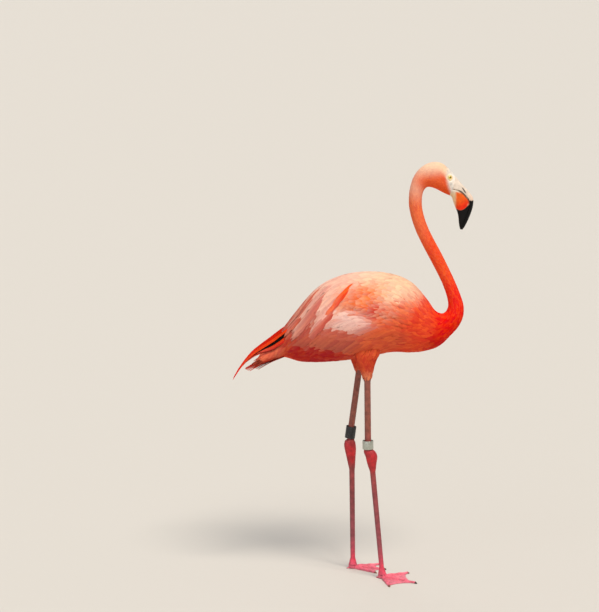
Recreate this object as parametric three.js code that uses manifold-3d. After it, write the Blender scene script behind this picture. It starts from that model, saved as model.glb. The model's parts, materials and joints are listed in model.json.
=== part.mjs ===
// An American flamingo standing at rest: a life-size, still model of an adult male.
//
// Millimetres, +Z up, the bird faces +X, its left side is +Y, and the floor is Z = 0. Every piece is
// a loft through oval sections. A section is given by two points of the bird's side outline, which it
// spans, and by how wide it is across. The solids are the outside of the plumage, out to the tips.

import * as THREE from "three";
import { mergeVertices } from "three/addons/utils/BufferGeometryUtils.js";
import Module from "manifold-3d";

const wasm = await Module();
wasm.setup();

// ---------------------------------------------------------------- driving dimensions

const GAP = 0.3; // the clearance between two pieces that touch
const CUT_CLEARANCE = 1.3; // the same where a level end meets a sloping one
const WING_COAT = 14; // how thick the folded wing lies on the trunk
const TRUNK_TUCK = 5; // how much narrower the trunk is than the folded wings over it
const CUT_AT = { neckLow: 7.6, neckMiddle: 12, neckTop: 15, head: 18 }; // cuts, counted in BODY sections
const EYE = { x: 202, y: 14.6, z: 1080, radius: 7.8 };
const BODY_FACETS = 24; // facets round the body
const NECK_FACETS = 14;
const LEG_FACETS = 12;
const CLAW_LENGTH = 7;

// Sections of the body, from rump to bill. Each has the outline's upper or rear point [x, z], its
// lower or front point, and the half width. Past the breast they fan round into the upright neck,
// and at the crown they fan over into the face.
const BODY = [
  [[-240, 672], [-240, 598], 42],
  [[-190, 737], [-192, 581], 67],
  [[-139, 794], [-139, 578], 86],
  [[-75, 825], [-78, 582], 98],
  [[-8, 833], [-10, 592], 103],
  [[55, 826], [50, 606], 99],
  [[104, 804], [106, 604], 86],
  [[140, 765], [146, 609], 66],
  [[166, 728], [180, 622], 47],
  [[184, 717], [212, 653], 34],
  [[193, 720], [238, 683], 27],
  [[200, 731], [248, 717], 23.5],
  [[200, 752], [243, 752], 20.5],
  [[184, 799], [220, 808], 18],
  [[151, 863], [188, 873], 17.5],
  [[116, 931], [152, 940], 17.5],
  [[97, 990], [134, 993], 18],
  [[95, 1035], [133, 1032], 18.5],
  [[104, 1075], [141, 1050], 20.5],
  [[122, 1103], [149, 1053], 23],
  [[147, 1119], [159, 1051], 26],
  [[172, 1122], [171, 1046], 27.5],
  [[192, 1113], [184, 1039], 26],
  [[207, 1098], [197, 1033], 22],
  [[219, 1082], [208, 1030], 17],
];

// The bill's line of the mouth, then the culmen over it and the keel under it, from gape to tip.
const MOUTH = [
  [212, 1048], [230, 1044], [245, 1032], [255, 1019], [256, 1006], [252, 990], [245, 971], [238, 953],
  [235, 941],
];
const CULMEN = [
  [219, 1082], [238, 1060], [254, 1043], [266, 1025], [267, 1009], [263, 990], [255, 969], [246, 950],
  [239, 940],
];
const KEEL = [
  [208, 1030], [211, 1024], [215, 1012], [220, 999], [225, 987], [228, 973], [229, 961], [231, 949],
  [233.5, 940.5],
];
const UPPER_BILL_WIDTH = [16, 12, 9.5, 9, 9, 8.5, 7.5, 5.5, 2.2];
const LOWER_BILL_WIDTH = [16, 15.5, 15.5, 15, 13.5, 11.5, 9.5, 6.5, 2.2];

// The side outline that a folded wing covers, from the shoulder back along its lower edge and over.
const WING_OUTLINE = [
  [112, 900], [116, 790], [120, 745], [106, 692], [66, 656], [-10, 626], [-73, 614],
  [-126, 624], [-190, 642], [-224, 652], [-239, 668], [-239, 900],
];

// The wing tip's long plumes, from under the wing to the point that droops past the tail.
const WING_TIP = [
  [[-240.5, 670], [-240.5, 634], 9, 33],
  [[-272, 646], [-266, 619], 8, 28],
  [[-300, 626], [-294, 608], 5.5, 22],
  [[-327, 603], [-322, 592], 3, 17],
  [[-352, 572], [-349, 567], 1.5, 12],
  [[-374, 534], [-373, 532.5], 0.6, 10],
];
const TAIL = [
  [[-240.5, 652], [-240.5, 589], 34],
  [[-265, 628], [-265, 585], 37],
  [[-290, 609], [-290, 579], 38],
  [[-318, 588], [-315, 568], 33],
  [[-342, 566], [-341, 562], 24],
];

// Each leg: the sections of the feathered thigh, then the centre line down to the foot, and the foot.
const LEGS = {
  right: {
    thigh: [
      [[-62, 650], [46, 672], 30, -42],
      [[-52, 604], [33, 622], 27, -47],
      [[-41, 584], [12, 594], 19, -50],
      [[-30, 562], [3, 566], 13, -51],
      [[-22, 541], [-4, 542], 9, -51],
    ],
    knee: [-13, -51, 541.5],
    ankle: [
      [[-22, 354], [1.2, 355], 10.8],
      [[-22.5, 345], [11, 348], 12.8],
      [[-18, 334], [15.8, 334], 13.2],
      [[-14.5, 319], [13.5, 318], 11.8],
      [[-6.5, 297], [11.2, 296], 8.6],
    ],
    ankleY: -52,
    foot: { x: 31, y: -58, toes: { outer: [-80, 80], middle: [-31, 98], inner: [31, 80] }, hallux: 168 },
    band: { at: 0.932, height: 23, radius: 14.6 },
  },
  left: {
    thigh: [
      [[-75, 650], [25, 668], 30, 42],
      [[-66, 604], [10, 616], 27, 44],
      [[-58, 586], [-8, 590], 19, 42],
      [[-49, 567], [-20, 570], 13, 41],
      [[-42, 550], [-24, 552], 9, 41],
    ],
    knee: [-33, 41, 551],
    ankle: [
      [[-69, 362], [-45.5, 364], 10.8],
      [[-74.5, 348], [-41, 353], 12.8],
      [[-73, 335], [-39, 336], 13.2],
      [[-67, 312], [-40.5, 312], 11.2],
      [[-59.5, 282], [-42, 281], 8.4],
    ],
    ankleY: 39,
    foot: { x: -47, y: 38, toes: { outer: [22, 76], middle: [-11, 86], inner: [-40, 76] }, hallux: 196 },
    band: { at: 0.9, height: 33, radius: 14.6 },
  },
};
const SHANK_RADIUS = 8.8; // the bare leg above the ankle
const TARSUS_RADIUS = 6.8; // the bare leg under the ankle
const FOOT_TOP = 26; // where the tarsus ends and the foot begins
const TOE = { height: 11, tipHeight: 5.2, width: 6.2, tipWidth: 3.4 };
const HIND_TOE = { length: 15, scale: 0.5, lift: 4 };
const WEB = { thickness: 2, reach: 0.97, hollow: 0.14 }; // reach and hollow as shares of the toes' length
const BAND_WALL = 1.4;

// ---------------------------------------------------------------- lofts

// One oval section: its centre, its half extents up and across as vectors, and whether its underside
// or its top is flat, as on a toe or where the two halves of the bill meet.
const section = (centre, up, across, flat = "") => ({ centre, up, across, flat });

// The section that spans two points of the side outline.
function spanning([ax, az], [bx, bz], halfWidth, y = 0, flat = "") {
  const a = new THREE.Vector3(ax, y, az);
  const b = new THREE.Vector3(bx, y, bz);
  const across = new THREE.Vector3(0, halfWidth, 0);
  if (flat === "under") return section(b, a.clone().sub(b), across, flat);
  if (flat === "top") return section(a, a.clone().sub(b), across, flat);
  return section(a.clone().add(b).multiplyScalar(0.5), a.clone().sub(b).multiplyScalar(0.5), across, flat);
}

// The row of numbers at place t between rows of numbers, on a smooth curve through all of them.
function smoothRow(rows, t) {
  const i = Math.min(Math.floor(t), rows.length - 2);
  const f = t - i;
  const at = (k) => rows[Math.max(0, Math.min(rows.length - 1, k))];
  const [p, a, b, q] = [at(i - 1), at(i), at(i + 1), at(i + 2)];
  return a.map((_, k) => {
    const leave = (b[k] - p[k]) / 2;
    const arrive = (q[k] - a[k]) / 2;
    const rise = b[k] - a[k];
    return a[k] + f * (leave + f * (3 * rise - 2 * leave - arrive + f * (leave + arrive - 2 * rise)));
  });
}

// Sections between from and to, counted in stations, where a station is [rear, front, half width, y].
function sectionsThrough(stations, count, options = {}) {
  const { from = 0, to = stations.length - 1, y = 0, grow = 0, flat = "" } = options;
  const rows = stations.map(([a, b, width, across = y]) => [...a, ...b, width, across]);
  return Array.from({ length: count }, (_, i) => {
    const [ax, az, bx, bz, width, across] = smoothRow(rows, from + ((to - from) * i) / (count - 1));
    const made = spanning([ax, az], [bx, bz], width + grow, across, flat);
    return grow ? { ...made, up: made.up.clone().setLength(made.up.length() + grow) } : made;
  });
}

// A closed solid through the sections, with flat ends.
function loft(sections, facets) {
  const positions = [];
  const indices = [];
  for (const { centre, up, across, flat } of sections) {
    for (let k = 0; k < facets; k++) {
      const angle = (2 * Math.PI * k) / facets;
      let rise = Math.sin(angle);
      if ((flat === "under" && rise < 0) || (flat === "top" && rise > 0)) rise = 0;
      const point = centre.clone().addScaledVector(across, Math.cos(angle)).addScaledVector(up, rise);
      positions.push(...point.toArray());
    }
  }
  const last = (sections.length - 1) * facets;
  for (let i = 0; i < last; i += facets) {
    for (let k = 0; k < facets; k++) {
      const next = (k + 1) % facets;
      indices.push(i + k, i + next, i + facets + next, i + k, i + facets + next, i + facets + k);
    }
  }
  for (let k = 1; k < facets - 1; k++) indices.push(0, k + 1, k, last, last + k, last + k + 1);
  const geometry = new THREE.BufferGeometry();
  geometry.setAttribute("position", new THREE.Float32BufferAttribute(positions, 3));
  geometry.setIndex(indices);
  return facingOut(geometry);
}

// The same geometry with its faces pointing out, whichever way round its sections run.
function facingOut(geometry) {
  const p = geometry.getAttribute("position");
  const index = geometry.getIndex();
  const [a, b, c] = [new THREE.Vector3(), new THREE.Vector3(), new THREE.Vector3()];
  let volume = 0;
  for (let i = 0; i < index.count; i += 3) {
    a.fromBufferAttribute(p, index.getX(i));
    b.fromBufferAttribute(p, index.getX(i + 1));
    c.fromBufferAttribute(p, index.getX(i + 2));
    volume += a.dot(b.cross(c));
  }
  if (volume < 0) geometry.setIndex(Array.from(index.array).reverse());
  return geometry;
}

// ---------------------------------------------------------------- booleans

// A closed geometry as a solid.
function solid(geometry) {
  const bare = geometry.clone();
  bare.deleteAttribute("normal");
  bare.deleteAttribute("uv");
  const merged = mergeVertices(bare, 1e-4);
  return new wasm.Manifold(
    new wasm.Mesh({
      numProp: 3,
      vertProperties: new Float32Array(merged.getAttribute("position").array),
      triVerts: new Uint32Array(merged.getIndex().array),
    }),
  );
}

// A solid's largest body as a geometry. What a cut splits off as a crumb is dropped.
function geometryOf(made) {
  const largest = made.decompose().sort((a, b) => b.volume() - a.volume())[0];
  const mesh = largest.getMesh();
  const geometry = new THREE.BufferGeometry();
  geometry.setAttribute("position", new THREE.Float32BufferAttribute(mesh.vertProperties, 3));
  geometry.setIndex(Array.from(mesh.triVerts));
  return geometry;
}

// A slab whose outline is drawn in the XZ plane, from y = near to y = far.
function sideSlab(outline, near, far) {
  const shape = new THREE.Shape(outline.map(([x, z]) => new THREE.Vector2(x, z)));
  const geometry = new THREE.ExtrudeGeometry(shape, { depth: far - near, bevelEnabled: false });
  geometry.rotateX(Math.PI / 2);
  geometry.translate(0, far, 0);
  return solid(geometry);
}

const bird = new THREE.Group();

// Adds one named piece in its own material.
function add(name, geometry, [color, roughness, metalness = 0]) {
  geometry.computeVertexNormals();
  const mesh = new THREE.Mesh(geometry, new THREE.MeshStandardMaterial({ color, roughness, metalness }));
  mesh.name = name;
  bird.add(mesh);
}

// ---------------------------------------------------------------- materials

const CORAL = [0xf5704a, 0.75]; // body plumage
const SCARLET = [0xee3a1c, 0.75]; // neck and breast
const SALMON = [0xf7a08c, 0.75]; // wing coverts and head
const ROSE_SKIN = [0xb5505a, 0.6]; // bare legs
const RED_SKIN = [0xc02434, 0.55]; // ankles
const PINK_SKIN = [0xf0708c, 0.6]; // feet
const PALE_HORN = [0xf2e6da, 0.4];
const BLACK_HORN = [0x15120f, 0.35];
const YELLOW_EYE = [0xe8c860, 0.1];
const BLACK_PLASTIC = [0x14161a, 0.4];
const GREY_METAL = [0xa9aea2, 0.35, 0.8];

// ---------------------------------------------------------------- trunk, wings and tail

const RUMP_TO_BREAST = { from: 0, to: CUT_AT.neckLow };
const bodyLoft = (grow, shape = (whole) => whole) =>
  solid(loft(sectionsThrough(BODY, 18, { ...RUMP_TO_BREAST, grow }).map(shape), BODY_FACETS));
const envelope = bodyLoft(0);
const trunkSkin = bodyLoft(0, narrowed);
const core = bodyLoft(-WING_COAT);
const coreAndGap = bodyLoft(GAP - WING_COAT);

// A trunk section under the wings, which lie over its sides.
function narrowed(whole) {
  const across = whole.across.clone().setLength(whole.across.length() - TRUNK_TUCK);
  return { ...whole, across };
}

const wingBlock = sideSlab(WING_OUTLINE, -200, 200);
const grownOutline = WING_OUTLINE.map(([x, z]) => [x + (x > 60 ? GAP : 0), z < 800 ? z - GAP : z]);
const wingRecess = sideSlab(grownOutline, -200, 200).subtract(core);
const trunk = trunkSkin.subtract(wingRecess);
const bothWings = envelope.intersect(wingBlock).subtract(coreAndGap);
const FAR = 200;
const beside = (sign) => sideSlab([[-400, 500], [300, 500], [300, 900], [-400, 900]],
  sign > 0 ? GAP / 2 : -FAR, sign > 0 ? FAR : -GAP / 2);

let tail = solid(loft(sectionsThrough(TAIL, 7), 16));
for (const [side, sign] of [["right", -1], ["left", 1]]) {
  add(`wing_${side}`, geometryOf(bothWings.intersect(beside(sign))), SALMON);
  const plumes = WING_TIP.map(([a, b, thick, y]) => [a, b, thick, sign * y]);
  add(`wing_tip_${side}`, loft(sectionsThrough(plumes, 9), 8), SCARLET);
  tail = tail.subtract(solid(loft(sectionsThrough(plumes, 9, { grow: GAP }), 8)));
}
add("tail", geometryOf(tail), CORAL);

// ---------------------------------------------------------------- neck and head

const cut = GAP / 40; // the gap between two neck pieces, counted in sections about 40 mm apart
const neckPieces = [
  ["neck_lower", CUT_AT.neckLow, CUT_AT.neckMiddle, 12],
  ["neck_middle", CUT_AT.neckMiddle, CUT_AT.neckTop, 7],
  ["neck_upper", CUT_AT.neckTop, CUT_AT.head, 8],
];
for (const [name, from, to, count] of neckPieces) {
  const range = { from: from + cut, to: to - cut };
  add(name, loft(sectionsThrough(BODY, count, range), NECK_FACETS), name === "neck_upper" ? SALMON : SCARLET);
}

const eyeBall = (sign, radius) => {
  const geometry = new THREE.SphereGeometry(radius, 12, 9);
  geometry.translate(EYE.x, sign * EYE.y, EYE.z);
  return geometry;
};
const faceEnd = BODY.length - 1.03; // stops just short of the bill
let head = solid(loft(sectionsThrough(BODY, 13, { from: CUT_AT.head + cut, to: faceEnd }), 16));
for (const [side, sign] of [["right", -1], ["left", 1]]) {
  head = head.subtract(solid(eyeBall(sign, EYE.radius + GAP)));
  add(`eye_${side}`, eyeBall(sign, EYE.radius), YELLOW_EYE);
}
add("head", geometryOf(head), SALMON);

// Half of the bill, between the line of the mouth and its own edge, clear of the other half by GAP.
function billHalf(edge, widths, isUpper) {
  const stations = MOUTH.map((mouth, i) => {
    const [dx, dz] = [edge[i][0] - mouth[0], edge[i][1] - mouth[1]];
    const step = GAP / 2 / Math.hypot(dx, dz);
    const lip = [mouth[0] + dx * step, mouth[1] + dz * step];
    return isUpper ? [edge[i], lip, widths[i]] : [lip, edge[i], widths[i]];
  });
  const from = 0.02; // starts just clear of the face
  return loft(sectionsThrough(stations, 12, { from, flat: isUpper ? "under" : "top" }), 12);
}
add("bill_upper", billHalf(CULMEN, UPPER_BILL_WIDTH, true), PALE_HORN);
add("bill_lower", billHalf(KEEL, LOWER_BILL_WIDTH, false), BLACK_HORN);

// ---------------------------------------------------------------- legs

// A straight round limb from one centre to another.
function limb(from, to, fromRadius, toRadius, count = 2) {
  const [a, b] = [new THREE.Vector3(...from), new THREE.Vector3(...to)];
  const sections = Array.from({ length: count }, (_, i) => {
    const t = i / (count - 1);
    const radius = fromRadius + (toRadius - fromRadius) * t;
    return section(a.clone().lerp(b, t), new THREE.Vector3(radius, 0, 0), new THREE.Vector3(0, radius, 0));
  });
  return loft(sections, LEG_FACETS);
}

// The middle of an outline section, moved up or down to height z along the limb that leaves it.
const middle = ([a, b], y) => [(a[0] + b[0]) / 2, y, (a[1] + b[1]) / 2];

// A direction on the floor, in degrees from +X towards +Y.
const heading = (degrees) => {
  const angle = THREE.MathUtils.degToRad(degrees);
  return new THREE.Vector3(Math.cos(angle), Math.sin(angle), 0);
};

// A toe on the floor, from its root to where its claw begins, with a swelling at each joint.
function toe(root, degrees, length, scale = 1, lift = 0) {
  const along = heading(degrees);
  const across = new THREE.Vector3(-along.y, along.x, 0);
  const count = 6;
  const sections = Array.from({ length: count }, (_, i) => {
    const t = i / (count - 1);
    const swell = 1 + 0.09 * Math.cos(6 * Math.PI * t) * (t > 0.1 ? 1 : 0);
    const height = scale * (TOE.height + (TOE.tipHeight - TOE.height) * t ** 0.7) * swell;
    const width = scale * (TOE.width + (TOE.tipWidth - TOE.width) * t) * swell;
    const centre = root.clone().addScaledVector(along, length * t);
    centre.z = lift * (1 - t);
    return section(centre, new THREE.Vector3(0, 0, height), across.clone().multiplyScalar(width), "under");
  });
  return loft(sections, 8);
}

// The claw that follows a toe: a short blunt nail that droops to the floor.
function claw(root, degrees, length, scale = 1) {
  const along = heading(degrees);
  const across = new THREE.Vector3(-along.y, along.x, 0);
  const count = 4;
  const sections = Array.from({ length: count }, (_, i) => {
    const t = i / (count - 1);
    const size = scale * Math.sqrt(1 - 0.94 * t * t);
    const centre = root.clone().addScaledVector(along, length + GAP + CLAW_LENGTH * scale * t);
    centre.z = 0;
    const up = new THREE.Vector3(0, 0, TOE.tipHeight * 0.86 * size);
    return section(centre, up, across.clone().multiplyScalar(TOE.tipWidth * 0.86 * size), "under");
  });
  return loft(sections, 8);
}

// The web between neighbouring toes: straight along the toes, hollowed in a curve between their tips.
function web(foot, first, second) {
  const root = new THREE.Vector2(foot.x, foot.y);
  const [a, b] = [first, second].map(([degrees, length]) => {
    const way = heading(degrees);
    return new THREE.Vector2(way.x, way.y).multiplyScalar(length * WEB.reach).add(root);
  });
  const hollow = a.clone().add(b).multiplyScalar(0.5).lerp(root, WEB.hollow);
  const edge = new THREE.QuadraticBezierCurve(a, hollow, b).getPoints(6);
  const shape = new THREE.Shape([root, ...edge]);
  return solid(new THREE.ExtrudeGeometry(shape, { depth: WEB.thickness, bevelEnabled: false }));
}

// The pad over the toes' roots, rising to the stump that the tarsus stands on.
function instep(foot, lean) {
  const rows = [[0, 10.4], [4, 12], [9, 11.6], [15, 9.6], [21, 8.2], [FOOT_TOP - GAP, 7.6]];
  const sections = rows.map(([z, radius]) => {
    const centre = new THREE.Vector3(foot.x + lean * z, foot.y, z);
    return section(centre, new THREE.Vector3(radius * 1.12, 0, 0), new THREE.Vector3(0, radius, 0));
  });
  return loft(sections, LEG_FACETS);
}

// A hoop round a leg that leans.
function legBand(centre, lean, { height, radius }) {
  const bore = radius - BAND_WALL;
  const [low, high] = [-height / 2, height / 2];
  const profile = [[bore, low], [radius, low], [radius, high], [bore, high], [bore, low]];
  const geometry = new THREE.LatheGeometry(profile.map((p) => new THREE.Vector2(...p)), 18);
  geometry.rotateX(Math.PI / 2);
  geometry.rotateY(lean);
  geometry.translate(...centre);
  return facingOut(mergeVertices(bareGeometry(geometry), 1e-4));
}

function bareGeometry(geometry) {
  geometry.deleteAttribute("normal");
  geometry.deleteAttribute("uv");
  return geometry;
}

let body = trunk;
for (const [side, leg] of Object.entries(LEGS)) {
  const { thigh, knee, ankle, ankleY, foot, band } = leg;
  const joint = ankle.map(([a, b, width]) => [a, b, width, ankleY]);
  const ankleTop = middle(ankle[0], ankleY);
  const ankleFoot = middle(ankle.at(-1), ankleY);
  const root = new THREE.Vector3(foot.x, foot.y, 0);

  const thighSolid = solid(loft(sectionsThrough(thigh, 8, { from: 0.01 }), 14));
  body = body.subtract(solid(loft(sectionsThrough(thigh, 8, { grow: GAP }), 14)));
  add(`thigh_${side}`, geometryOf(thighSolid.subtract(wingRecess)), CORAL);

  const [kneeEnd, ankleEnd] = [new THREE.Vector3(...knee), new THREE.Vector3(...ankleTop)];
  const shankFrom = [knee[0], knee[1], knee[2] - CUT_CLEARANCE];
  const shankTo = [ankleTop[0], ankleTop[1], ankleTop[2] + CUT_CLEARANCE];
  add(`shank_${side}`, limb(shankFrom, shankTo, SHANK_RADIUS, SHANK_RADIUS * 1.03), ROSE_SKIN);
  add(`ankle_${side}`, loft(sectionsThrough(joint, 9), LEG_FACETS), RED_SKIN);

  const tarsusFrom = [ankleFoot[0], ankleY, ankleFoot[2] - CUT_CLEARANCE];
  const tarsusTo = [foot.x + (tarsusFrom[0] - foot.x) * 0.1, foot.y, FOOT_TOP];
  add(`tarsus_${side}`, limb(tarsusFrom, tarsusTo, TARSUS_RADIUS * 1.15, TARSUS_RADIUS), ROSE_SKIN);

  const { outer, middle: mid, inner } = foot.toes;
  let sole = solid(instep(foot, (tarsusTo[0] - foot.x) / FOOT_TOP));
  for (const [degrees, length] of [outer, mid, inner]) sole = sole.add(solid(toe(root, degrees, length)));
  sole = sole.add(web(foot, outer, mid)).add(web(foot, mid, inner));
  sole = sole.add(solid(toe(root, foot.hallux, HIND_TOE.length, HIND_TOE.scale, HIND_TOE.lift)));
  add(`foot_${side}`, geometryOf(sole), PINK_SKIN);
  for (const [name, [degrees, length]] of Object.entries(foot.toes)) {
    add(`claw_${side}_${name}`, claw(root, degrees, length), BLACK_HORN);
  }
  add(`claw_${side}_hind`, claw(root, foot.hallux, HIND_TOE.length, HIND_TOE.scale), BLACK_HORN);

  const bandCentre = kneeEnd.clone().lerp(ankleEnd, band.at);
  const lean = Math.atan2(kneeEnd.x - ankleEnd.x, kneeEnd.z - ankleEnd.z);
  const finish = side === "right" ? GREY_METAL : BLACK_PLASTIC;
  add(`band_${side}`, legBand(bandCentre.toArray(), lean, band), finish);
}
add("trunk", geometryOf(body), CORAL);

// ---------------------------------------------------------------- the part's own frame

// The origin is the middle of the bird's bounding box, on the floor.
const box = new THREE.Box3().setFromObject(bird, true);
const centre = box.getCenter(new THREE.Vector3());
bird.position.set(-centre.x, -centre.y, -box.min.z);

export default bird;
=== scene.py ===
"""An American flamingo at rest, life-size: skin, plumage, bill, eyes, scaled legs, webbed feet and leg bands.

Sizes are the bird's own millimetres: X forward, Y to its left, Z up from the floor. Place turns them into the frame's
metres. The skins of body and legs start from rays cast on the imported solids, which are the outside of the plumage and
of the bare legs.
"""

from __future__ import annotations

import json
import logging
import math
from dataclasses import dataclass, field
from enum import Enum
from typing import Iterable, Sequence

import bpy
import numpy as np
from bpy.types import ID, Collection, Material, Mesh, Node, NodeSocket, NodeTree, Object
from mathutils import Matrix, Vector
from mathutils.bvhtree import BVHTree

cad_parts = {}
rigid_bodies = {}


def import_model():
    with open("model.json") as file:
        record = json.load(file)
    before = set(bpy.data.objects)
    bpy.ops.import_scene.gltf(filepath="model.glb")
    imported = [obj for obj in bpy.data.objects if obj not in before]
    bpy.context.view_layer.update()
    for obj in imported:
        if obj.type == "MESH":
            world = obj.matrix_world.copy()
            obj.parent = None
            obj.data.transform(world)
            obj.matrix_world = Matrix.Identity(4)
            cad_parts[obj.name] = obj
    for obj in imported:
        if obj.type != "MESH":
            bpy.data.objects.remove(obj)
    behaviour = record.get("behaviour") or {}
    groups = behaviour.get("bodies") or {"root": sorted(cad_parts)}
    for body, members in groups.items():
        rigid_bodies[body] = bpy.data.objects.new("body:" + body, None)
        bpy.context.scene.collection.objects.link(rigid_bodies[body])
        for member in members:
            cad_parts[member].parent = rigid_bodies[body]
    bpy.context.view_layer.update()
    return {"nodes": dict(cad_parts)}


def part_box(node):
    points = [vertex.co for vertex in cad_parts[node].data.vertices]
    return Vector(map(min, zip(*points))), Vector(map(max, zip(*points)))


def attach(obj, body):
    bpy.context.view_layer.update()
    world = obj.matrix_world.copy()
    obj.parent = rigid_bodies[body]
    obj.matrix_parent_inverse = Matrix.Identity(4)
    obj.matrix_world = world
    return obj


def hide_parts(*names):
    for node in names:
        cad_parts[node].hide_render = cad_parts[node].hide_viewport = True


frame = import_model()
LOG = logging.getLogger("flamingo")

MM = 0.001
SIDES = {"right": -1.0, "left": 1.0}
BODY = "root"  # the one body: nothing on the bird moves
Shell = tuple[np.ndarray, Sequence[Sequence[int]]]  # a mesh's points and faces

# ---- driving dimensions, in millimetres

EYE_X, EYE_Y, EYE_Z, EYE_RADIUS = 202.0, 14.6, 1080.0, 7.8
TOES = ("outer", "middle", "inner")

# The body's middle line from the tail's root to the bill's: x, z, the lean of its upward ray in degrees, how far out
# the rays start, and how deep the feathers are there.
SPINE = np.array([
    (-300, 590, 90, 60, 11), (-270, 606, 90, 70, 9), (-240, 634, 90, 85, 7.5),
    (-190, 659, 90, 110, 8.5), (-139, 686, 90, 140, 9.5), (-75, 704, 90, 150, 10),
    (-9, 712, 90, 155, 10), (52, 716, 90, 150, 9.5), (105, 704, 90, 135, 8.5),
    (143, 687, 92, 100, 7.5), (173, 675, 97.5, 75, 6.5), (198, 685, 113.6, 50, 5.5),
    (215.5, 701.5, 140.6, 45, 5), (224, 724, 163.7, 40, 4.2), (221.5, 752, 180, 36, 3.8),
    (202, 803.5, 194, 32, 3.4), (169.5, 868, 195, 32, 3), (134, 935.5, 194, 30, 2.8),
    (115.5, 991.5, 184.6, 30, 2.6), (114, 1033.5, 175.5, 30, 2.4), (122.5, 1062.5, 146, 32, 2.2),
    (135.5, 1078, 118.4, 40, 2.0), (153, 1085, 100, 48, 1.8), (171.5, 1084, 89.2, 50, 1.6),
    (188, 1076, 83.8, 50, 1.2), (202, 1065.5, 81.3, 45, 0.7), (213, 1056.5, 78, 40, 0.3),
])
NECK_FROM, HEAD_FROM = 12.5, 19.5  # where neck and head begin, counted in SPINE rows
ROW_STEP = {"trunk": 4.0, "neck": 3.0, "head": 1.3}
COLUMNS = 96

# The bill's line of the mouth from gape to tip: x, z, and the lean of the rays to the culmen and to the keel.
MOUTH = np.array([
    (212, 1048, 78.4, -102.5), (230, 1044, 63.4, -133.5), (245, 1032, 50.7, -146.3), (255, 1019, 28.6, -150.3),
    (256, 1006, 15.3, -148.5), (252, 990, 0.0, -144.7), (245, 971, -11.3, -148.0), (238, 953, -20.6, -150.3),
    (235, 941, -14.0, -162.0),
])

# ---- small helpers


def linear(colour: str) -> np.ndarray:
    """An sRGB hex colour as linear red, green and blue."""
    channels = np.array([int(colour[i : i + 2], 16) / 255 for i in (1, 3, 5)])
    return np.where(channels <= 0.04045, channels / 12.92, ((channels + 0.055) / 1.055) ** 2.4)


def rgba(colour: str) -> tuple[float, ...]:
    """An sRGB hex colour as a linear colour socket takes it."""
    return (*linear(colour).tolist(), 1.0)


def blend(colour: np.ndarray, other: str | np.ndarray, share: float | np.ndarray) -> np.ndarray:
    """Each point's colour, or way, turned into another, linear or an sRGB hex, as far as its share from 0 to 1."""
    share = np.reshape(share, (-1, 1))
    return colour * (1 - share) + (linear(other) if isinstance(other, str) else other) * share


def ramp(low: float, high: float, value: np.ndarray) -> np.ndarray:
    """A soft step from 0 at low to 1 at high, which may be the smaller."""
    t = np.clip((np.asarray(value, float) - low) / (high - low), 0, 1)
    return t * t * (3 - 2 * t)


def along_rows(rows: np.ndarray, at: np.ndarray) -> np.ndarray:
    """Rows of numbers read at fractional places, on a smooth curve through them.

    Args:
        rows: the numbers.
        at: the places, counted in rows.
    Returns:
        One row of numbers for each place.
    """
    last = len(rows) - 1
    i = np.clip(np.floor(at).astype(int), 0, last - 1)
    f = (at - i)[:, None]
    p, a, b, q = (rows[np.clip(i + k, 0, last)] for k in (-1, 0, 1, 2))
    return a + 0.5 * f * (b - p + f * (2 * p - 5 * a + 4 * b - q + f * (3 * (a - b) + q - p)))


def smoothed(values: np.ndarray, reach: float, axis: int, wraps: bool) -> np.ndarray:
    """A grid of numbers blurred along one axis by a bell curve of that reach, in samples.

    Args:
        values: the grid.
        reach: how wide the curve is.
        axis: the axis to blur along.
        wraps: whether that axis closes on itself.
    Returns:
        The blurred grid.
    """
    half = int(3 * reach) + 1
    weights = np.exp(-0.5 * (np.arange(-half, half + 1) / reach) ** 2)
    padding = [(0, 0)] * values.ndim
    padding[axis] = (half, half)
    wide = np.pad(values, padding, mode="wrap" if wraps else "edge")
    return np.apply_along_axis(lambda line: np.convolve(line, weights / weights.sum(), "valid"), axis, wide)


def unit(vectors: np.ndarray) -> np.ndarray:
    """The vectors at length one."""
    return vectors / np.maximum(np.linalg.norm(vectors, axis=-1, keepdims=True), 1e-12)


def in_plane(seen: np.ndarray) -> np.ndarray:
    """Points of the bird's middle plane, given by x and z."""
    return np.insert(seen, 1, 0.0, axis=1)


def bearing(degrees: float) -> np.ndarray:
    """The level direction that many degrees to the left of straight ahead."""
    return np.array([math.cos(math.radians(degrees)), math.sin(math.radians(degrees)), 0])


def full_turn(count: int) -> np.ndarray:
    """Angles evenly round a circle, in radians."""
    return 2 * math.pi * np.arange(count) / count


def merged(shells: Iterable[Shell]) -> Shell:
    """Several meshes' points and faces as one mesh's.

    Args:
        shells: the meshes.
    Returns:
        The one mesh.
    """
    points: list[np.ndarray] = []
    faces: list[tuple[int, ...]] = []
    for corners, cells in shells:
        first = sum(map(len, points))
        faces += [tuple(int(first + k) for k in cell) for cell in cells]
        points.append(corners)
    return np.vstack(points), faces


@dataclass(frozen=True)
class Place:
    """Where the bird's own millimetres lie in the frame."""

    shift: np.ndarray

    @classmethod
    def from_eyes(cls) -> Place:
        """The place that puts the eyes' centres on those of their nodes.

        Returns:
            The place.
        """
        right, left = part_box("eye_right"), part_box("eye_left")
        x = (right[0][0] + right[1][0]) / 2 - EYE_X * MM
        return cls(np.array([x, (right[0][1] + left[1][1]) / 2, 0.0]))

    def metres(self, points: np.ndarray) -> np.ndarray:
        """The bird's millimetres in the frame's metres."""
        return np.asarray(points, float) * MM + self.shift

    def own(self, points: np.ndarray) -> np.ndarray:
        """The frame's metres in the bird's millimetres."""
        return (np.asarray(points, float) - self.shift) / MM


PLACE = Place.from_eyes()


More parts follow.
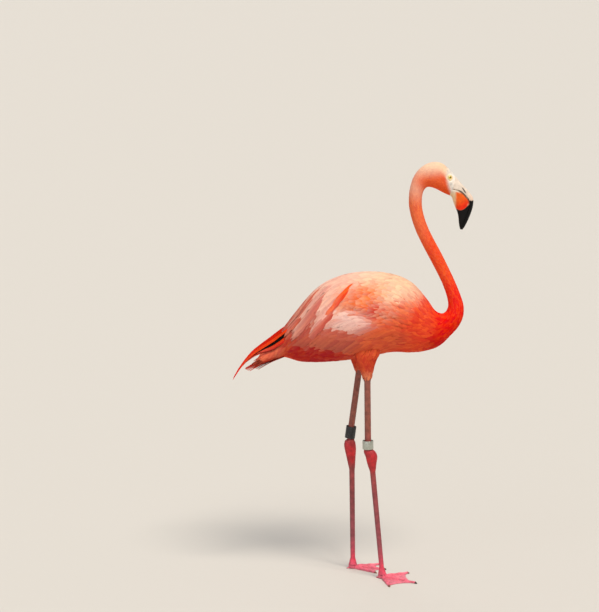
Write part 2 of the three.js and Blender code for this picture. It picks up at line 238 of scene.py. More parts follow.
def node_mesh(name: str) -> Shell:
    """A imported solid's corners, in the bird's millimetres, and its triangles.

    Args:
        name: the solid's node.
    Returns:
        Its points and triangles.
    """
    mesh = frame["nodes"][name].data
    corners = np.empty(len(mesh.vertices) * 3)
    mesh.vertices.foreach_get("co", corners)
    mesh.calc_loop_triangles()
    triangles = np.empty(len(mesh.loop_triangles) * 3, int)
    mesh.loop_triangles.foreach_get("vertices", triangles)
    return PLACE.own(corners.reshape(-1, 3)), triangles.reshape(-1, 3)


class Outside:
    """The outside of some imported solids, found by rays that come in from beyond them."""

    def __init__(self, *names: str) -> None:
        """Gathers the solids of these names."""
        points, faces = merged(node_mesh(name) for name in names)
        self.tree = BVHTree.FromPolygons(points.tolist(), faces)

    def distance(self, centre: np.ndarray, way: np.ndarray, reach: float) -> float:
        """How far from centre the surface is along way, or nan where there is none within reach.

        Args:
            centre: a point inside, in the bird's millimetres.
            way: a direction of length one.
            reach: how far out the ray starts.
        Returns:
            The distance in millimetres.
        """
        start = Vector((centre + way * reach).tolist())
        hit = self.tree.ray_cast(start, Vector((-way).tolist()), reach)
        return reach - hit[3] if hit[0] is not None else math.nan


def fill_gaps(values: np.ndarray) -> np.ndarray:
    """The same numbers, with each nan read off its neighbours down the column.

    Args:
        values: a grid of numbers.
    Returns:
        The grid without its nans.
    """
    filled = values.copy()
    rows = np.arange(len(values))
    for column in filled.T:
        known = ~np.isnan(column)
        column[~known] = np.interp(rows[~known], rows[known], column[known])
    return filled


# ---- meshes, attributes and nodes


def show(name: str, data: ID) -> Object:
    """A new object in the scene that holds a mesh, a light or a camera.

    Args:
        name: the object's name.
        data: what it holds.
    Returns:
        The object.
    """
    shown = bpy.data.objects.new(name, data)
    bpy.context.scene.collection.objects.link(shown)
    return shown


def make_object(name: str, points: np.ndarray, faces: Sequence[Sequence[int]]) -> Object:
    """A smooth-shaded mesh object in the scene, from points in the frame's metres and each face's corner numbers.

    Args:
        name: the object's name.
        points: corners in the frame's metres.
        faces: each face's corner numbers.
    Returns:
        The mesh object.
    """
    mesh = bpy.data.meshes.new(name)
    mesh.from_pydata(np.asarray(points, float).tolist(), [], [tuple(f) for f in faces])
    mesh.validate()
    mesh.shade_smooth()
    return show(name, mesh)


def make_piece(name: str, shell: Shell) -> Object:
    """A smooth-shaded mesh object from a shell in the bird's millimetres."""
    return make_object(name, PLACE.metres(shell[0]), shell[1])


def put(mesh: Mesh, name: str, values: np.ndarray, kind: str) -> None:
    """Stores one value for each corner point under a name: kind is FLOAT, INT, FLOAT_VECTOR, FLOAT2 or FLOAT_COLOR.

    Args:
        mesh: the mesh.
        name: the attribute's name.
        values: a row or a number for each point.
        kind: FLOAT, INT, FLOAT_VECTOR, FLOAT2 or FLOAT_COLOR.
    """
    key = {"FLOAT": "value", "INT": "value", "FLOAT_COLOR": "color"}.get(kind, "vector")
    stored = mesh.attributes.get(name) or mesh.attributes.new(name, kind, "POINT")
    if kind == "FLOAT_COLOR":
        values = np.hstack([values, np.ones((len(values), 1))])
    stored.data.foreach_set(key, np.ascontiguousarray(values, float if kind != "INT" else int).ravel())


def get(mesh: Mesh, name: str, width: int = 3) -> np.ndarray:
    """A point attribute's values, width numbers to a point.

    Args:
        mesh: the mesh.
        name: the attribute's name.
        width: how many numbers each point has.
    Returns:
        The numbers, in rows where there is more than one to a point.
    """
    values = np.empty(len(mesh.vertices) * width)
    mesh.attributes[name].data.foreach_get("value" if width == 1 else "vector", values)
    return values.reshape(-1, width) if width > 1 else values


def own_points(piece: Object) -> np.ndarray:
    """A piece's points in the bird's millimetres."""
    return PLACE.own(get(piece.data, "position"))


def plain(source: Object, name: str) -> Object:
    """The object with its modifiers worked into a plain mesh, under a new name. The source is removed.

    Args:
        source: the object, which is removed.
        name: the new object's name.
    Returns:
        The mesh object.
    """
    depsgraph = bpy.context.evaluated_depsgraph_get()
    mesh = bpy.data.meshes.new_from_object(
        source.evaluated_get(depsgraph), preserve_all_data_layers=True, depsgraph=depsgraph
    )
    bpy.data.objects.remove(source)
    mesh.name = name
    return show(name, mesh)


def fill(node: Node, inputs: dict[str | int, object] | Sequence[object]) -> None:
    """Sets or links a node's inputs.

    Args:
        inputs: by a socket's name or number, or in the sockets' order. Each is a value, an output socket to link from,
            or a node, which stands for its first output.
    """
    for key, value in inputs.items() if isinstance(inputs, dict) else enumerate(inputs):
        named = (socket for socket in node.inputs if socket.enabled and socket.name == key)
        socket = node.inputs[key] if isinstance(key, int) else next(named)
        if isinstance(value, Node):
            value = next(output for output in value.outputs if output.enabled)
        if isinstance(value, NodeSocket):
            node.id_data.links.new(value, socket)
        else:
            socket.default_value = value


def add(
    tree: NodeTree, kind: str, inputs: dict[str | int, object] | Sequence[object] = (), **settings: object
) -> Node:
    """Adds a node to a tree, sets its own properties to the settings, and fills or links its inputs.

    Args:
        tree: the tree.
        kind: the node's type.
        inputs: as fill() takes them.
        settings: the node's own properties.
    Returns:
        The node.
    """
    node = tree.nodes.new(kind)
    for key, value in settings.items():
        setattr(node, key, value)
    fill(node, inputs)
    return node


def new_tree(name: str, output: str, **inputs: str) -> tuple[NodeTree, Sequence[NodeSocket]]:
    """A Geometry Nodes tree with named inputs of given kinds and one output, and the sockets its inputs come from.

    Args:
        name: the tree's name.
        output: the output's name.
        inputs: each input's kind of socket, by its name.
    Returns:
        The tree, and the sockets that its inputs come from.
    """
    tree = bpy.data.node_groups.new(name, "GeometryNodeTree")
    for key, kind in inputs.items():
        tree.interface.new_socket(name=key, in_out="INPUT", socket_type=f"NodeSocket{kind}")
    tree.interface.new_socket(name=output, in_out="OUTPUT", socket_type="NodeSocketGeometry")
    return tree, tree.nodes.new("NodeGroupInput").outputs


def worked(source: Object, tree: NodeTree, name: str, **inputs: object) -> Object:
    """The plain mesh that a tree makes of an object, which is removed. Inputs are set by the socket's identifier.

    Args:
        source: the object that the tree starts from.
        tree: the tree.
        name: the new object's name.
        inputs: values for the tree's inputs, by name.
    Returns:
        The mesh object.
    """
    modifier = source.modifiers.new(tree.name, "NODES")
    modifier.node_group = tree
    for socket in tree.interface.items_tree:
        if socket.in_out == "INPUT" and socket.name in inputs:
            modifier[socket.identifier] = inputs[socket.name]
    return plain(source, name)


# ---- surfaces


@dataclass
class Surface:
    """A tube-like surface as a grid of points. u runs along it and v round it, both from 0 to 1, and v closes."""

    points: np.ndarray  # rows, columns, 3, in the bird's millimetres
    us: np.ndarray = field(init=False)
    length: float = field(init=False)
    normals: np.ndarray = field(init=False)
    along: np.ndarray = field(init=False)
    around: np.ndarray = field(init=False)

    def __post_init__(self) -> None:
        """Finds where each row lies, which way is out, and the surface's scale."""
        middles = self.points.mean(axis=1)
        steps = np.linalg.norm(np.diff(middles, axis=0), axis=1)
        self.length = steps.sum()
        self.us = np.concatenate([[0], np.cumsum(steps)]) / self.length
        along = np.gradient(self.points, self.us, axis=0)
        columns = self.points.shape[1]
        around = (np.roll(self.points, -1, 1) - np.roll(self.points, 1, 1)) * columns / 2
        out = unit(np.cross(along, around))
        if np.mean(np.sum(out * (self.points - middles[:, None]), axis=-1)) < 0:
            self.points = self.points[:, ::-1].copy()
            self.__post_init__()
            return
        self.normals = out
        self.along, self.around = along, around

    def read(self, grid: np.ndarray, u: np.ndarray, v: np.ndarray) -> np.ndarray:
        """A grid of numbers over the surface, read at places on it.

        Args:
            grid: rows, columns and numbers.
            u: the places along the surface, 0 to 1.
            v: the places round it, 0 to 1.
        Returns:
            The numbers at each place.
        """
        row = np.interp(u, self.us, np.arange(len(self.us)))
        column = np.asarray(v) % 1 * grid.shape[1]
        i = np.clip(row.astype(int), 0, len(self.us) - 2)
        j = column.astype(int) % grid.shape[1]
        k = (j + 1) % grid.shape[1]
        f, g = (row - i)[:, None], (column - np.floor(column))[:, None]
        low = grid[i, j] * (1 - g) + grid[i, k] * g
        return low * (1 - f) + (grid[i + 1, j] * (1 - g) + grid[i + 1, k] * g) * f

    def spots(self, u: np.ndarray, v: np.ndarray) -> np.ndarray:
        """The points at places on it."""
        return self.read(self.points, u, v)

    def closed(self) -> Shell:
        """The surface as a closed shell, with a fan over each end.

        Returns:
            The shell, its two middle points last.
        """
        rows, columns = self.points.shape[:2]
        points = [*self.points.reshape(-1, 3), self.points[0].mean(0), self.points[-1].mean(0)]
        first, last = rows * columns, rows * columns + 1
        faces: list[tuple[int, ...]] = []
        for j in range(columns):
            k = (j + 1) % columns
            starts = range(0, (rows - 1) * columns, columns)
            faces += [(i + j, i + columns + j, i + columns + k, i + k) for i in starts]
            faces += [(j, k, first), ((rows - 1) * columns + k, (rows - 1) * columns + j, last)]
        return np.array(points), faces

    def carrier(self, name: str, past: float = 0.0) -> Object:
        """The surface as a helper mesh that carries its places and normals.

        Args:
            past: how far it runs on past its ends, in millimetres. It then laps over itself round the seam too, for
                what lies across them.
        Returns:
            The helper object, with point attributes "place" and "outward".
        """
        columns = self.points.shape[1]
        overlap = columns // 4 if past else 0
        turns = np.arange(-overlap, columns + 1 + overlap)
        points, normals, us = self.points[:, turns % columns], self.normals[:, turns % columns], self.us
        if past:
            head, foot = (self.points[i].mean(0) - self.points[k].mean(0) for i, k in ((0, 3), (-1, -4)))
            points = np.concatenate([[points[0] + unit(head) * past], points, [points[-1] + unit(foot) * past]])
            normals = np.concatenate([normals[:1], normals, normals[-1:]])
            us = np.concatenate([[-past / self.length], us, [1 + past / self.length]])
        wide = len(turns)
        places = np.zeros_like(points)
        places[..., 0] = us[:, None]
        places[..., 1] = turns / columns
        cells = np.arange((len(us) - 1) * wide).reshape(-1, wide)[:, :-1].ravel()
        faces = np.stack([cells, cells + wide, cells + wide + 1, cells + 1], 1)
        helper = make_object(name, PLACE.metres(points.reshape(-1, 3)), faces)
        put(helper.data, "place", places.reshape(-1, 3) / 2 + 0.25, "FLOAT_VECTOR")
        put(helper.data, "outward", normals.reshape(-1, 3), "FLOAT_VECTOR")
        return helper


def spine_rows() -> np.ndarray:
    """Where along SPINE each ring of the body lies: close together on the head, wider apart on the trunk.

    Returns:
        Each ring's place, counted in rows.
    """
    fine = np.linspace(0, len(SPINE) - 1, 2000)
    steps = np.linalg.norm(np.diff(along_rows(SPINE, fine)[:, :2], axis=0), axis=1)
    pace = np.select([fine < NECK_FROM, fine < HEAD_FROM], [ROW_STEP["trunk"], ROW_STEP["neck"]], ROW_STEP["head"])
    count = np.concatenate([[0], np.cumsum(steps / pace[1:])])
    return np.interp(np.linspace(0, count[-1], int(count[-1])), count, fine)


def body_surface() -> tuple[Surface, np.ndarray]:
    """The skin of tail root, trunk, neck and head, under the feathers. v is 0 under the belly and 0.25 on the right.

    Returns:
        The surface, and each ring's place along SPINE.
    """
    outside = Outside("tail", "trunk", "wing_right", "wing_left", "neck_lower", "neck_middle", "neck_upper", "head")
    stations = spine_rows()
    spine = along_rows(SPINE, stations)
    angles = -math.pi / 2 - 2 * math.pi * (np.arange(COLUMNS) + 0.5) / COLUMNS
    lean = np.radians(spine[:, 2])
    centres, ups = in_plane(spine[:, :2]), in_plane(np.stack([np.cos(lean), np.sin(lean)], 1))
    ways = np.cos(angles)[None, :, None] * np.array([0, 1.0, 0]) + np.sin(angles)[None, :, None] * ups[:, None]
    thighs = Outside("thigh_right", "thigh_left")
    radii, inner = (
        np.array([[solid.distance(c, w, row[3]) for w in ring] for c, ring, row in zip(centres, ways, spine)])
        for solid in (outside, thighs)
    )
    radii[np.nan_to_num(inner) > np.nan_to_num(radii) - 1] = math.nan
    radii = smoothed(smoothed(fill_gaps(radii), 2.0, 0, False), 2.2, 1, True) - spine[:, 4:5]
    radii = (radii + radii[:, ::-1]) / 2
    radii[0] *= 0.4
    points = centres[:, None] + radii[..., None] * ways
    return Surface(points), stations


# ---- plumage colours, with painted light and shade


@dataclass(frozen=True)
class Patch:
    """A soft-edged oval of one colour on the plumage, as seen from the side."""

    colour: str
    x: float
    z: float
    long: float  # its half length
    high: float  # its half height
    slope: float = 0.0  # degrees that its length rises forward
    soft: float = 0.45
    strength: float = 1.0

    def weight(self, points: np.ndarray) -> np.ndarray:
        """How much of the patch shows at each point, 0 to 1.

        Args:
            points: points in the bird's millimetres.
        Returns:
            The share at each.
        """
        turn = math.radians(self.slope)
        dx, dz = points[:, 0] - self.x, points[:, 2] - self.z
        a = (dx * math.cos(turn) + dz * math.sin(turn)) / self.long
        b = (dz * math.cos(turn) - dx * math.sin(turn)) / self.high
        return self.strength * ramp(1 + self.soft, 1 - self.soft, np.hypot(a, b))


CORAL = "#e64a2a"
PLUMAGE = {
    "breast": Patch("#f44c28", 128, 700, 62, 78),
    # back and mantle: pale pink, paled further by painted highlight of sunlight on the top of the body
    "back": Patch("#fbdac2", 0, 842, 190, 46, 0, 0.6),
    "mantle": Patch("#f8bca6", -116, 776, 130, 48, 46, 0.6),
    "breast_up": Patch("#fac4a4", 86, 778, 62, 46, 25, 0.5),
    "shoulder": Patch("#fccca6", 44, 794, 80, 34, 0, 0.6),
    "coverts": Patch("#f67438", -34, 768, 58, 26, 14, 0.6),
    "front_coverts": Patch("#f0704a", 52, 716, 44, 28, 20, 0.5),
    # painted shade: the lower side darkened against the floor's light from below
    "shaded_lower_side": Patch("#d4654f", -104, 668, 160, 36, -4, 0.5),
    "flank_front": Patch("#f0643c", 16, 656, 64, 44, 40, 0.6),
    # painted shade: the rear of the side darkened
    "shaded_rear_side": Patch("#cc5c48", -180, 712, 54, 44, 50, 0.6),
    "secondaries": Patch("#fccabf", -66, 718, 56, 20, -16, 0.5),
    "belly": Patch("#c63a20", 30, 592, 150, 18),
    # painted shade: a dark crimson band just under the folded wing's hem
    "hem_shade": Patch("#c0261e", -136, 606, 132, 30, -13, 0.3),
    "rump": Patch("#d4482e", -228, 640, 34, 22, 40),
    "tail_root": Patch("#e2684c", -272, 616, 40, 20, 30),
    "thigh": Patch("#d64a2c", -26, 578, 50, 34, 0, 0.6),
    "thigh_hem": Patch("#e67c58", -8, 550, 32, 18, 0, 0.9),
    "breast_front": Patch("#da1c06", 196, 652, 62, 36, 50),
    "lower_neck": Patch("#ef2002", 212, 740, 54, 130, 8),
    "middle_neck": Patch("#f04a18", 165, 870, 34, 90, 26),
    "upper_neck": Patch("#f26c3c", 108, 990, 42, 80, 8, 0.6),
    "nape": Patch("#f7a98c", 104, 1072, 32, 48, 30, 0.7),
    "cheek": Patch("#f6622e", 162, 1064, 44, 24, -14, 0.6),
    "throat": Patch("#f25412", 180, 1044, 38, 15, -26, 0.6),
    # crown and forehead: light salmon, paled further by painted highlight on the top of the head
    "crown": Patch("#f8d0b0", 150, 1122, 68, 30, 0, 0.7),
    "forehead": Patch("#f8d2ae", 198, 1104, 34, 18, -52, 0.5),
    "face": Patch("#efe5da", 224, 1066, 27, 52, 19, 0.25),
}


def plumage_colour_and_light(points: np.ndarray) -> np.ndarray:
    """The plumage's linear colour with its painted light and shade, at points in the bird's millimetres. Skin and
    feathers share it.

    Args:
        points: the points.
    Returns:
        The colour at each.
    """
    colour = np.tile(linear(CORAL), (len(points), 1))
    for patch in PLUMAGE.values():
        colour = blend(colour, patch.colour, patch.weight(points))
    return colour


# ---- feathers


def blade_faces(rows: int, columns: int) -> list[tuple[int, ...]]:
    """A closed blade's faces: its ends, then its top and its flat underside row by row.

    Args:
        rows: how many rows of points the top has.
        columns: how many points are in a row.
    Returns:
        The faces.
    """
    faces = [tuple(range(columns)), tuple(range(rows * columns - 1, (rows - 1) * columns - 1, -1))]
    for a in range(0, (rows - 1) * columns, columns):
        b = a + columns
        faces += [(a + j, b + j, b + j + 1, a + j + 1) for j in range(columns - 1)]
        faces.append((a, b - 1, b + columns - 1, b))
    return faces


@dataclass(frozen=True)
class Vane:
    """One kind of feather, with a length, width and height of one: a closed, arched blade with a ragged edge."""

    name: str
    rows: int = 9
    columns: int = 5
    widest: float = 0.6  # how far along it is widest
    root: float = 0.35  # how wide its root is
    point: float = 0.6  # 0.4 is blunt, 1 pointed, 1.6 drawn out
    slant: float = 0.16  # how far the barbs lean to the tip
    ragged: float = 0.1
    splits: int = 2  # how many notches the edge has
    arch: float = 0.32

    def build(self, variant: int) -> Object:
        """One blade, with its own notches, as a helper object. Attribute "vane" holds its place on itself.

        Args:
            variant: which of the kind's blades, for its own notches.
        Returns:
            The helper object.
        """
        rng = np.random.default_rng(len(self.name) * 100 + variant)
        t = np.linspace(0, 1, self.rows)
        rising = self.root + (1 - self.root) * np.sin(np.clip(t / self.widest, 0, 1) * math.pi / 2)
        falling = np.cos(np.clip((t - self.widest) / (1 - self.widest), 0, 1) * math.pi / 2)
        width = rising * np.maximum(falling, 0.02) ** self.point
        s = np.linspace(-1, 1, self.columns)
        reach = 1 - self.ragged * rng.random((self.rows, 2))
        reach[1::2] -= self.ragged
        for _ in range(self.splits):
            reach[rng.integers(self.rows // 3, self.rows - 1), rng.integers(2)] *= 0.8
        across = np.tile(s, (self.rows, 1))
        across[:, 0] *= reach[:, 0]
        across[:, -1] *= reach[:, 1]
        x = t[:, None] + self.slant * np.abs(across) * (width * (1 - t) ** 0.5)[:, None]
        y = across * width[:, None] / 2
        rise = 0.1 + 0.9 * np.sin(np.clip(t / 0.8, 0, 1) * math.pi / 2) - 0.25 * ramp(0.7, 1, t)
        z = rise[:, None] + self.arch * (1 - across**2) * (0.25 + 0.75 * width[:, None])
        points = np.stack([x, y, z - self.arch], -1).reshape(-1, 3)
        blade = make_object(f"{self.name}_{variant}", points, blade_faces(self.rows, self.columns))
        put(blade.data, "vane", np.stack([np.repeat(t, self.columns), across.ravel() / 2 + 0.5], 1), "FLOAT2")
        return blade


def scatter_tree() -> NodeTree:
    """A tree that sets feather roots on a surface, evenly but not in rows, where the surface's "share" allows.

    Returns:
        The tree.
    """
    tree, given = new_tree("set_roots", "Roots", Surface="Geometry", Spacing="Float", Seed="Int")
    share = add(tree, "GeometryNodeInputNamedAttribute", {"Name": "share"}, data_type="FLOAT")
    inputs = {"Mesh": given["Surface"], "Distance Min": given["Spacing"], "Seed": given["Seed"]}
    inputs |= {"Density Max": 1e6, "Density Factor": share}
    spread = add(tree, "GeometryNodeDistributePointsOnFaces", inputs, distribute_method="POISSON")
    roots = add(tree, "GeometryNodePointsToVertices", {"Points": spread})
    add(tree, "NodeGroupOutput", (roots,))
    return tree


def drape_tree() -> NodeTree:
    """A tree that lays flat blades, feathers or scales, over a surface so that each bends with it.

    Each root says where it is on the surface ("root"), the surface's scale there ("scale_uv"), how the blade is turned
    ("turn") and sized ("size"), how high its root is ("base") and which blade it takes ("kind"). The surface says where
    each of its points is on it ("place") and which way is out ("outward").

    Returns:
        The tree.
    """
    tree, given = new_tree(
        "drape_over_surface", "Coat", Roots="Geometry", Surface="Object", Blades="Collection", Finish="Material"
    )
    kinds = {"turn": "FLOAT", "base": "FLOAT", "kind": "INT"}
    kinds |= dict.fromkeys(("size", "root", "scale_uv", "place", "outward"), "FLOAT_VECTOR")
    stored = {
        name: add(tree, "GeometryNodeInputNamedAttribute", {"Name": name}, data_type=kind)
        for name, kind in kinds.items()
    }
    surface = add(tree, "GeometryNodeObjectInfo", {"Object": given["Surface"]}).outputs["Geometry"]
    picked = {"Collection": given["Blades"], "Separate Children": True, "Reset Children": True}
    blades = add(tree, "GeometryNodeCollectionInfo", picked)
    turn = add(tree, "ShaderNodeCombineXYZ", {"Z": stored["turn"]})
    turned = add(tree, "FunctionNodeEulerToRotation", (turn,))
    inputs = {"Points": given["Roots"], "Instance": blades, "Pick Instance": True, "Instance Index": stored["kind"]}
    placed = add(tree, "GeometryNodeInstanceOnPoints", inputs | {"Rotation": turned, "Scale": stored["size"]})
    real = add(tree, "GeometryNodeRealizeInstances", {"Geometry": placed})

    flat = add(tree, "GeometryNodeInputPosition")
    moved = add(tree, "ShaderNodeVectorMath", (flat, stored["scale_uv"]), operation="MULTIPLY")
    spot = add(tree, "ShaderNodeVectorMath", (stored["root"], moved), operation="ADD")
    place = add(tree, "ShaderNodeVectorMath", (spot, (0.5, 0.5, 0), (0.25, 0.25, 0)), operation="MULTIPLY_ADD")
    here = {"Mesh": surface, "UV Map": stored["place"], "Sample UV": place}
    ground, outward = (
        add(tree, "GeometryNodeSampleUVSurface", here | {"Value": value}, data_type="FLOAT_VECTOR")
        for value in (flat, stored["outward"])
    )
    rise = add(tree, "ShaderNodeSeparateXYZ", (flat,)).outputs["Z"]
    height = add(tree, "ShaderNodeMath", (rise, stored["base"]), operation="ADD")
    raised = add(tree, "ShaderNodeVectorMath", {0: outward, "Scale": height}, operation="SCALE")
    target = add(tree, "ShaderNodeVectorMath", (ground, raised), operation="ADD")
    laid = add(tree, "GeometryNodeSetPosition", {"Geometry": real, "Position": target})
    dressed = add(tree, "GeometryNodeSetMaterial", {"Geometry": laid, "Material": given["Finish"]})
    add(tree, "NodeGroupOutput", (dressed,))
    return tree


@dataclass
class Roots:
    """Where blades grow on a surface, and how each points and is sized, in millimetres."""

    u: np.ndarray
    v: np.ndarray
    heading: np.ndarray  # which way each points
    length: np.ndarray
    width: np.ndarray
    lift: np.ndarray  # how high the tip stands over the root
    base: np.ndarray  # how high the root is over the skin
    tip: np.ndarray  # how pale the tip is, 0 to 1
    tint: np.ndarray | None = None
    loose: float = 0.0  # how far one turns from the next, degrees

    @classmethod
    def joined(cls, parts: Sequence[Roots]) -> Roots:
        """Several sets, each with its own tint, as one."""
        names = ("u", "v", "heading", "length", "width", "lift", "base", "tip", "tint")
        return cls(*(np.concatenate([getattr(part, name) for part in parts]) for name in names), loose=parts[0].loose)


class Plumage:
    """Lays blades over surfaces, with Geometry Nodes, and turns them into plain pieces."""

    SCRAP = ("root", "scale_uv", "turn", "size", "base", "kind")  # attributes that only the drape needs
    # pale tips come in only on the upper plumage: partly the feathers' own, partly painted highlight
    PALE_AND_LIT_TIPS = (676, 730)  # the heights between which pale tips come in
    CREASE = math.radians(70)  # a blade's edge is sharper than this, its arch is not

    def __init__(self) -> None:
        """Builds the two trees."""
        self.drape = drape_tree()
        self.scatter = scatter_tree()
        self.stock: dict[Vane, Collection] = {}

    def blades(self, kind: Vane, variants: int = 4) -> Collection:
        """Some blades of one kind, each with its own notches, as a collection to pick from.

        Args:
            kind: the kind of feather.
            variants: how many blades to pick from.
        Returns:
            The collection.
        """
        if kind not in self.stock:
            self.stock[kind] = bpy.data.collections.new(kind.name)
            bpy.context.scene.collection.children.link(self.stock[kind])
            for variant in range(variants):
                blade = kind.build(variant)
                bpy.context.scene.collection.objects.unlink(blade)
                self.stock[kind].objects.link(blade)
        return self.stock[kind]

    def put_away(self) -> None:
        """Removes the loose blades once all coats are laid."""
        for collection in self.stock.values():
            for blade in list(collection.objects):
                bpy.data.objects.remove(blade)
            bpy.data.collections.remove(collection)

    def spread(self, surface: Surface, share: np.ndarray, spacing: float, seed: int) -> tuple[np.ndarray, np.ndarray]:
        """Even places on a surface.

        Args:
            share: rows by columns, from 0 where nothing grows to 1.
            spacing: the least distance between roots, in millimetres.
        Returns:
            The places' u and v.
        """
        carrier = surface.carrier("roots")
        put(carrier.data, "share", np.concatenate([share, share[:, :1]], 1), "FLOAT")
        roots = worked(carrier, self.scatter, "roots", Spacing=spacing * MM, Seed=seed)
        places = (get(roots.data, "place") - 0.25) * 2
        bpy.data.objects.remove(roots)
        return places[:, 0], places[:, 1]

    def lay(
        self,
        name: str,
        surface: Surface,
        roots: Roots,
        blades: Collection,
        finish: Material,
        seed: int = 1,
    ) -> Object:
        """Blades over a surface as one plain piece.

        Args:
            name: the piece's name.
            surface: what they lie on.
            roots: where they grow.
            blades: what each is picked from.
            finish: their material.
            seed: what the random draws start from.
        Returns:
            The piece, with attributes "tint", "tip", "own" and "vane" and the UV map OFBake.
        """
        rng = np.random.default_rng(seed)
        count = len(roots.u)
        along, around = (surface.read(way, roots.u, roots.v) for way in (surface.along, surface.around))
        speeds = np.linalg.norm([along, around], axis=-1).T
        spots = surface.spots(roots.u, roots.v)
        ahead, aside = (np.sum(roots.heading * unit(way), 1) for way in (along, around))
        turn = np.arctan2(aside, ahead) + np.radians(rng.normal(0, max(roots.loose, 1e-6), count))
        points = bpy.data.meshes.new(name)
        points.vertices.add(count)
        zero = np.zeros(count)
        put(points, "position", np.zeros((count, 3)), "FLOAT_VECTOR")
        put(points, "root", np.stack([roots.u, roots.v % 1, zero], 1), "FLOAT_VECTOR")
        put(points, "scale_uv", np.stack([1 / speeds[:, 0], 1 / speeds[:, 1], zero], 1) / MM, "FLOAT_VECTOR")
        put(points, "turn", turn, "FLOAT")
        put(points, "size", np.stack([roots.length, roots.width, roots.lift], 1) * MM, "FLOAT_VECTOR")
        put(points, "base", roots.base * MM, "FLOAT")
        put(points, "kind", rng.integers(0, len(blades.objects), count), "INT")
        shown = spots + unit(roots.heading) * (0.6 * roots.length)[:, None]
        put(points, "tint", plumage_colour_and_light(shown) if roots.tint is None else roots.tint, "FLOAT_COLOR")
        # tips paler up the body: partly painted highlight on the upper feathers
        put(points, "tip", roots.tip * (0.1 + 0.9 * ramp(*self.PALE_AND_LIT_TIPS, shown[:, 2])), "FLOAT")
        put(points, "own", rng.random(count), "FLOAT")
        source = show(f"{name}_roots", points)
        carrier = surface.carrier(f"{name}_surface", past=1.1 * float(roots.length.max()))
        piece = worked(source, self.drape, name, Surface=carrier, Blades=blades, Finish=finish)
        bpy.data.objects.remove(carrier)
        self.map_for_bake(piece.data)
        for scrap in self.SCRAP:
            piece.data.attributes.remove(piece.data.attributes[scrap])
        return piece

    @staticmethod
    def map_for_bake(mesh: Mesh) -> None:
        """Adds the UV map OFBake: each blade is a small patch at its root's place on the skin's unwrap.

        Args:
            mesh: the coat's mesh, with its roots and vanes still stored.
        """
        root, vane = get(mesh, "root"), get(mesh, "vane", 2)
        spots = 0.02 + 0.95 * root[:, [1, 0]] + 0.003 * vane
        loops = np.empty(len(mesh.loops), int)
        mesh.loops.foreach_get("vertex_index", loops)
        layer = mesh.uv_layers.new(name="OFBake")
        layer.data.foreach_set("uv", spots[loops].ravel())
        mesh.set_sharp_from_angle(angle=Plumage.CREASE)


# ---- finishes


SHADED = {"data_type": "RGBA", "blend_type": "MULTIPLY"}  # a mix node that darkens one colour by another


@dataclass(frozen=True)
class Finish:
    """A real material. Its patterns feed one shader."""

    name: str

    def look(self, tree: NodeTree) -> dict[str, object]:
        """Adds the material's patterns to its tree, and gives the shader's inputs."""
        raise NotImplementedError

    def make(self) -> Material:
        """The material.

        Returns:
            The material, ready for a piece.
        """
        material = bpy.data.materials.new(self.name)
        material.use_nodes = True
        fill(material.node_tree.nodes["Principled BSDF"], self.look(material.node_tree))
        return material


@dataclass(frozen=True)
class Feather(Finish):
    """Feather vanes: soft matt keratin barbs, ribbed at a slant from the shaft, saturated at the root."""

    tip: str = "#ffd2bc"  # what pale tips fade to
    barbs: float = 26.0  # ribs along one vane
    depth: float = 0.5
    roughness: float = 0.7
    variety: float = 0.2  # how much one feather's lightness differs from the next's

    def look(self, tree: NodeTree) -> dict[str, object]:
        """Fine slanting lines on each vane, a paler tip and fringe, and no two feathers quite alike.

        Args:
            tree: the material's nodes.
        Returns:
            The shader's inputs by name.
        """
        tint, own, pale, vane = (
            add(tree, "ShaderNodeAttribute", attribute_name=name).outputs[output]
            for name, output in (("tint", "Color"), ("own", "Fac"), ("tip", "Fac"), ("vane", "Vector"))
        )
        along, across, _ = add(tree, "ShaderNodeSeparateXYZ", (vane,)).outputs
        off = add(tree, "ShaderNodeMath", (across, 0.5), operation="SUBTRACT")
        side = add(tree, "ShaderNodeMath", (off,), operation="ABSOLUTE")
        slant = add(tree, "ShaderNodeMath", (side, -0.55, along), operation="MULTIPLY_ADD")
        phase = add(tree, "ShaderNodeMath", (slant, 2 * math.pi * self.barbs), operation="MULTIPLY")
        ribs = add(tree, "ShaderNodeMath", (phase,), operation="SINE")
        fade = add(tree, "ShaderNodeMapRange", (along, 0.4, 1.0), interpolation_type="SMOOTHSTEP")
        fringe = add(tree, "ShaderNodeMapRange", (side, 0.28, 0.5, 0, 0.55), interpolation_type="SMOOTHSTEP")
        paling = add(tree, "ShaderNodeMath", (fade, fringe), operation="MAXIMUM")
        # the stored tip share holds painted highlight on the upper plumage as well as the feathers' own pale tips
        share = add(tree, "ShaderNodeMath", (paling, pale), operation="MULTIPLY")
        tipped = add(tree, "ShaderNodeMix", {"Factor": share, "A": tint, "B": rgba(self.tip)}, data_type="RGBA")
        hue = add(tree, "ShaderNodeMath", (own, 0.01, 0.495), operation="MULTIPLY_ADD")
        value = add(tree, "ShaderNodeMath", (own, self.variety, 1 - 0.6 * self.variety), operation="MULTIPLY_ADD")
        varied = add(tree, "ShaderNodeHueSaturation", {"Hue": hue, "Value": value, "Color": tipped})
        shade = add(tree, "ShaderNodeMath", (ribs, 0.045, 0.955), operation="MULTIPLY_ADD")
        return {
            "Base Color": add(tree, "ShaderNodeMix", {"Factor": 1.0, "A": varied, "B": shade}, **SHADED),
            "Normal": add(tree, "ShaderNodeBump", {"Strength": self.depth, "Distance": 0.0004, "Height": ribs}),
            "Roughness": self.roughness,
            "Specular IOR Level": 0.06,
        }


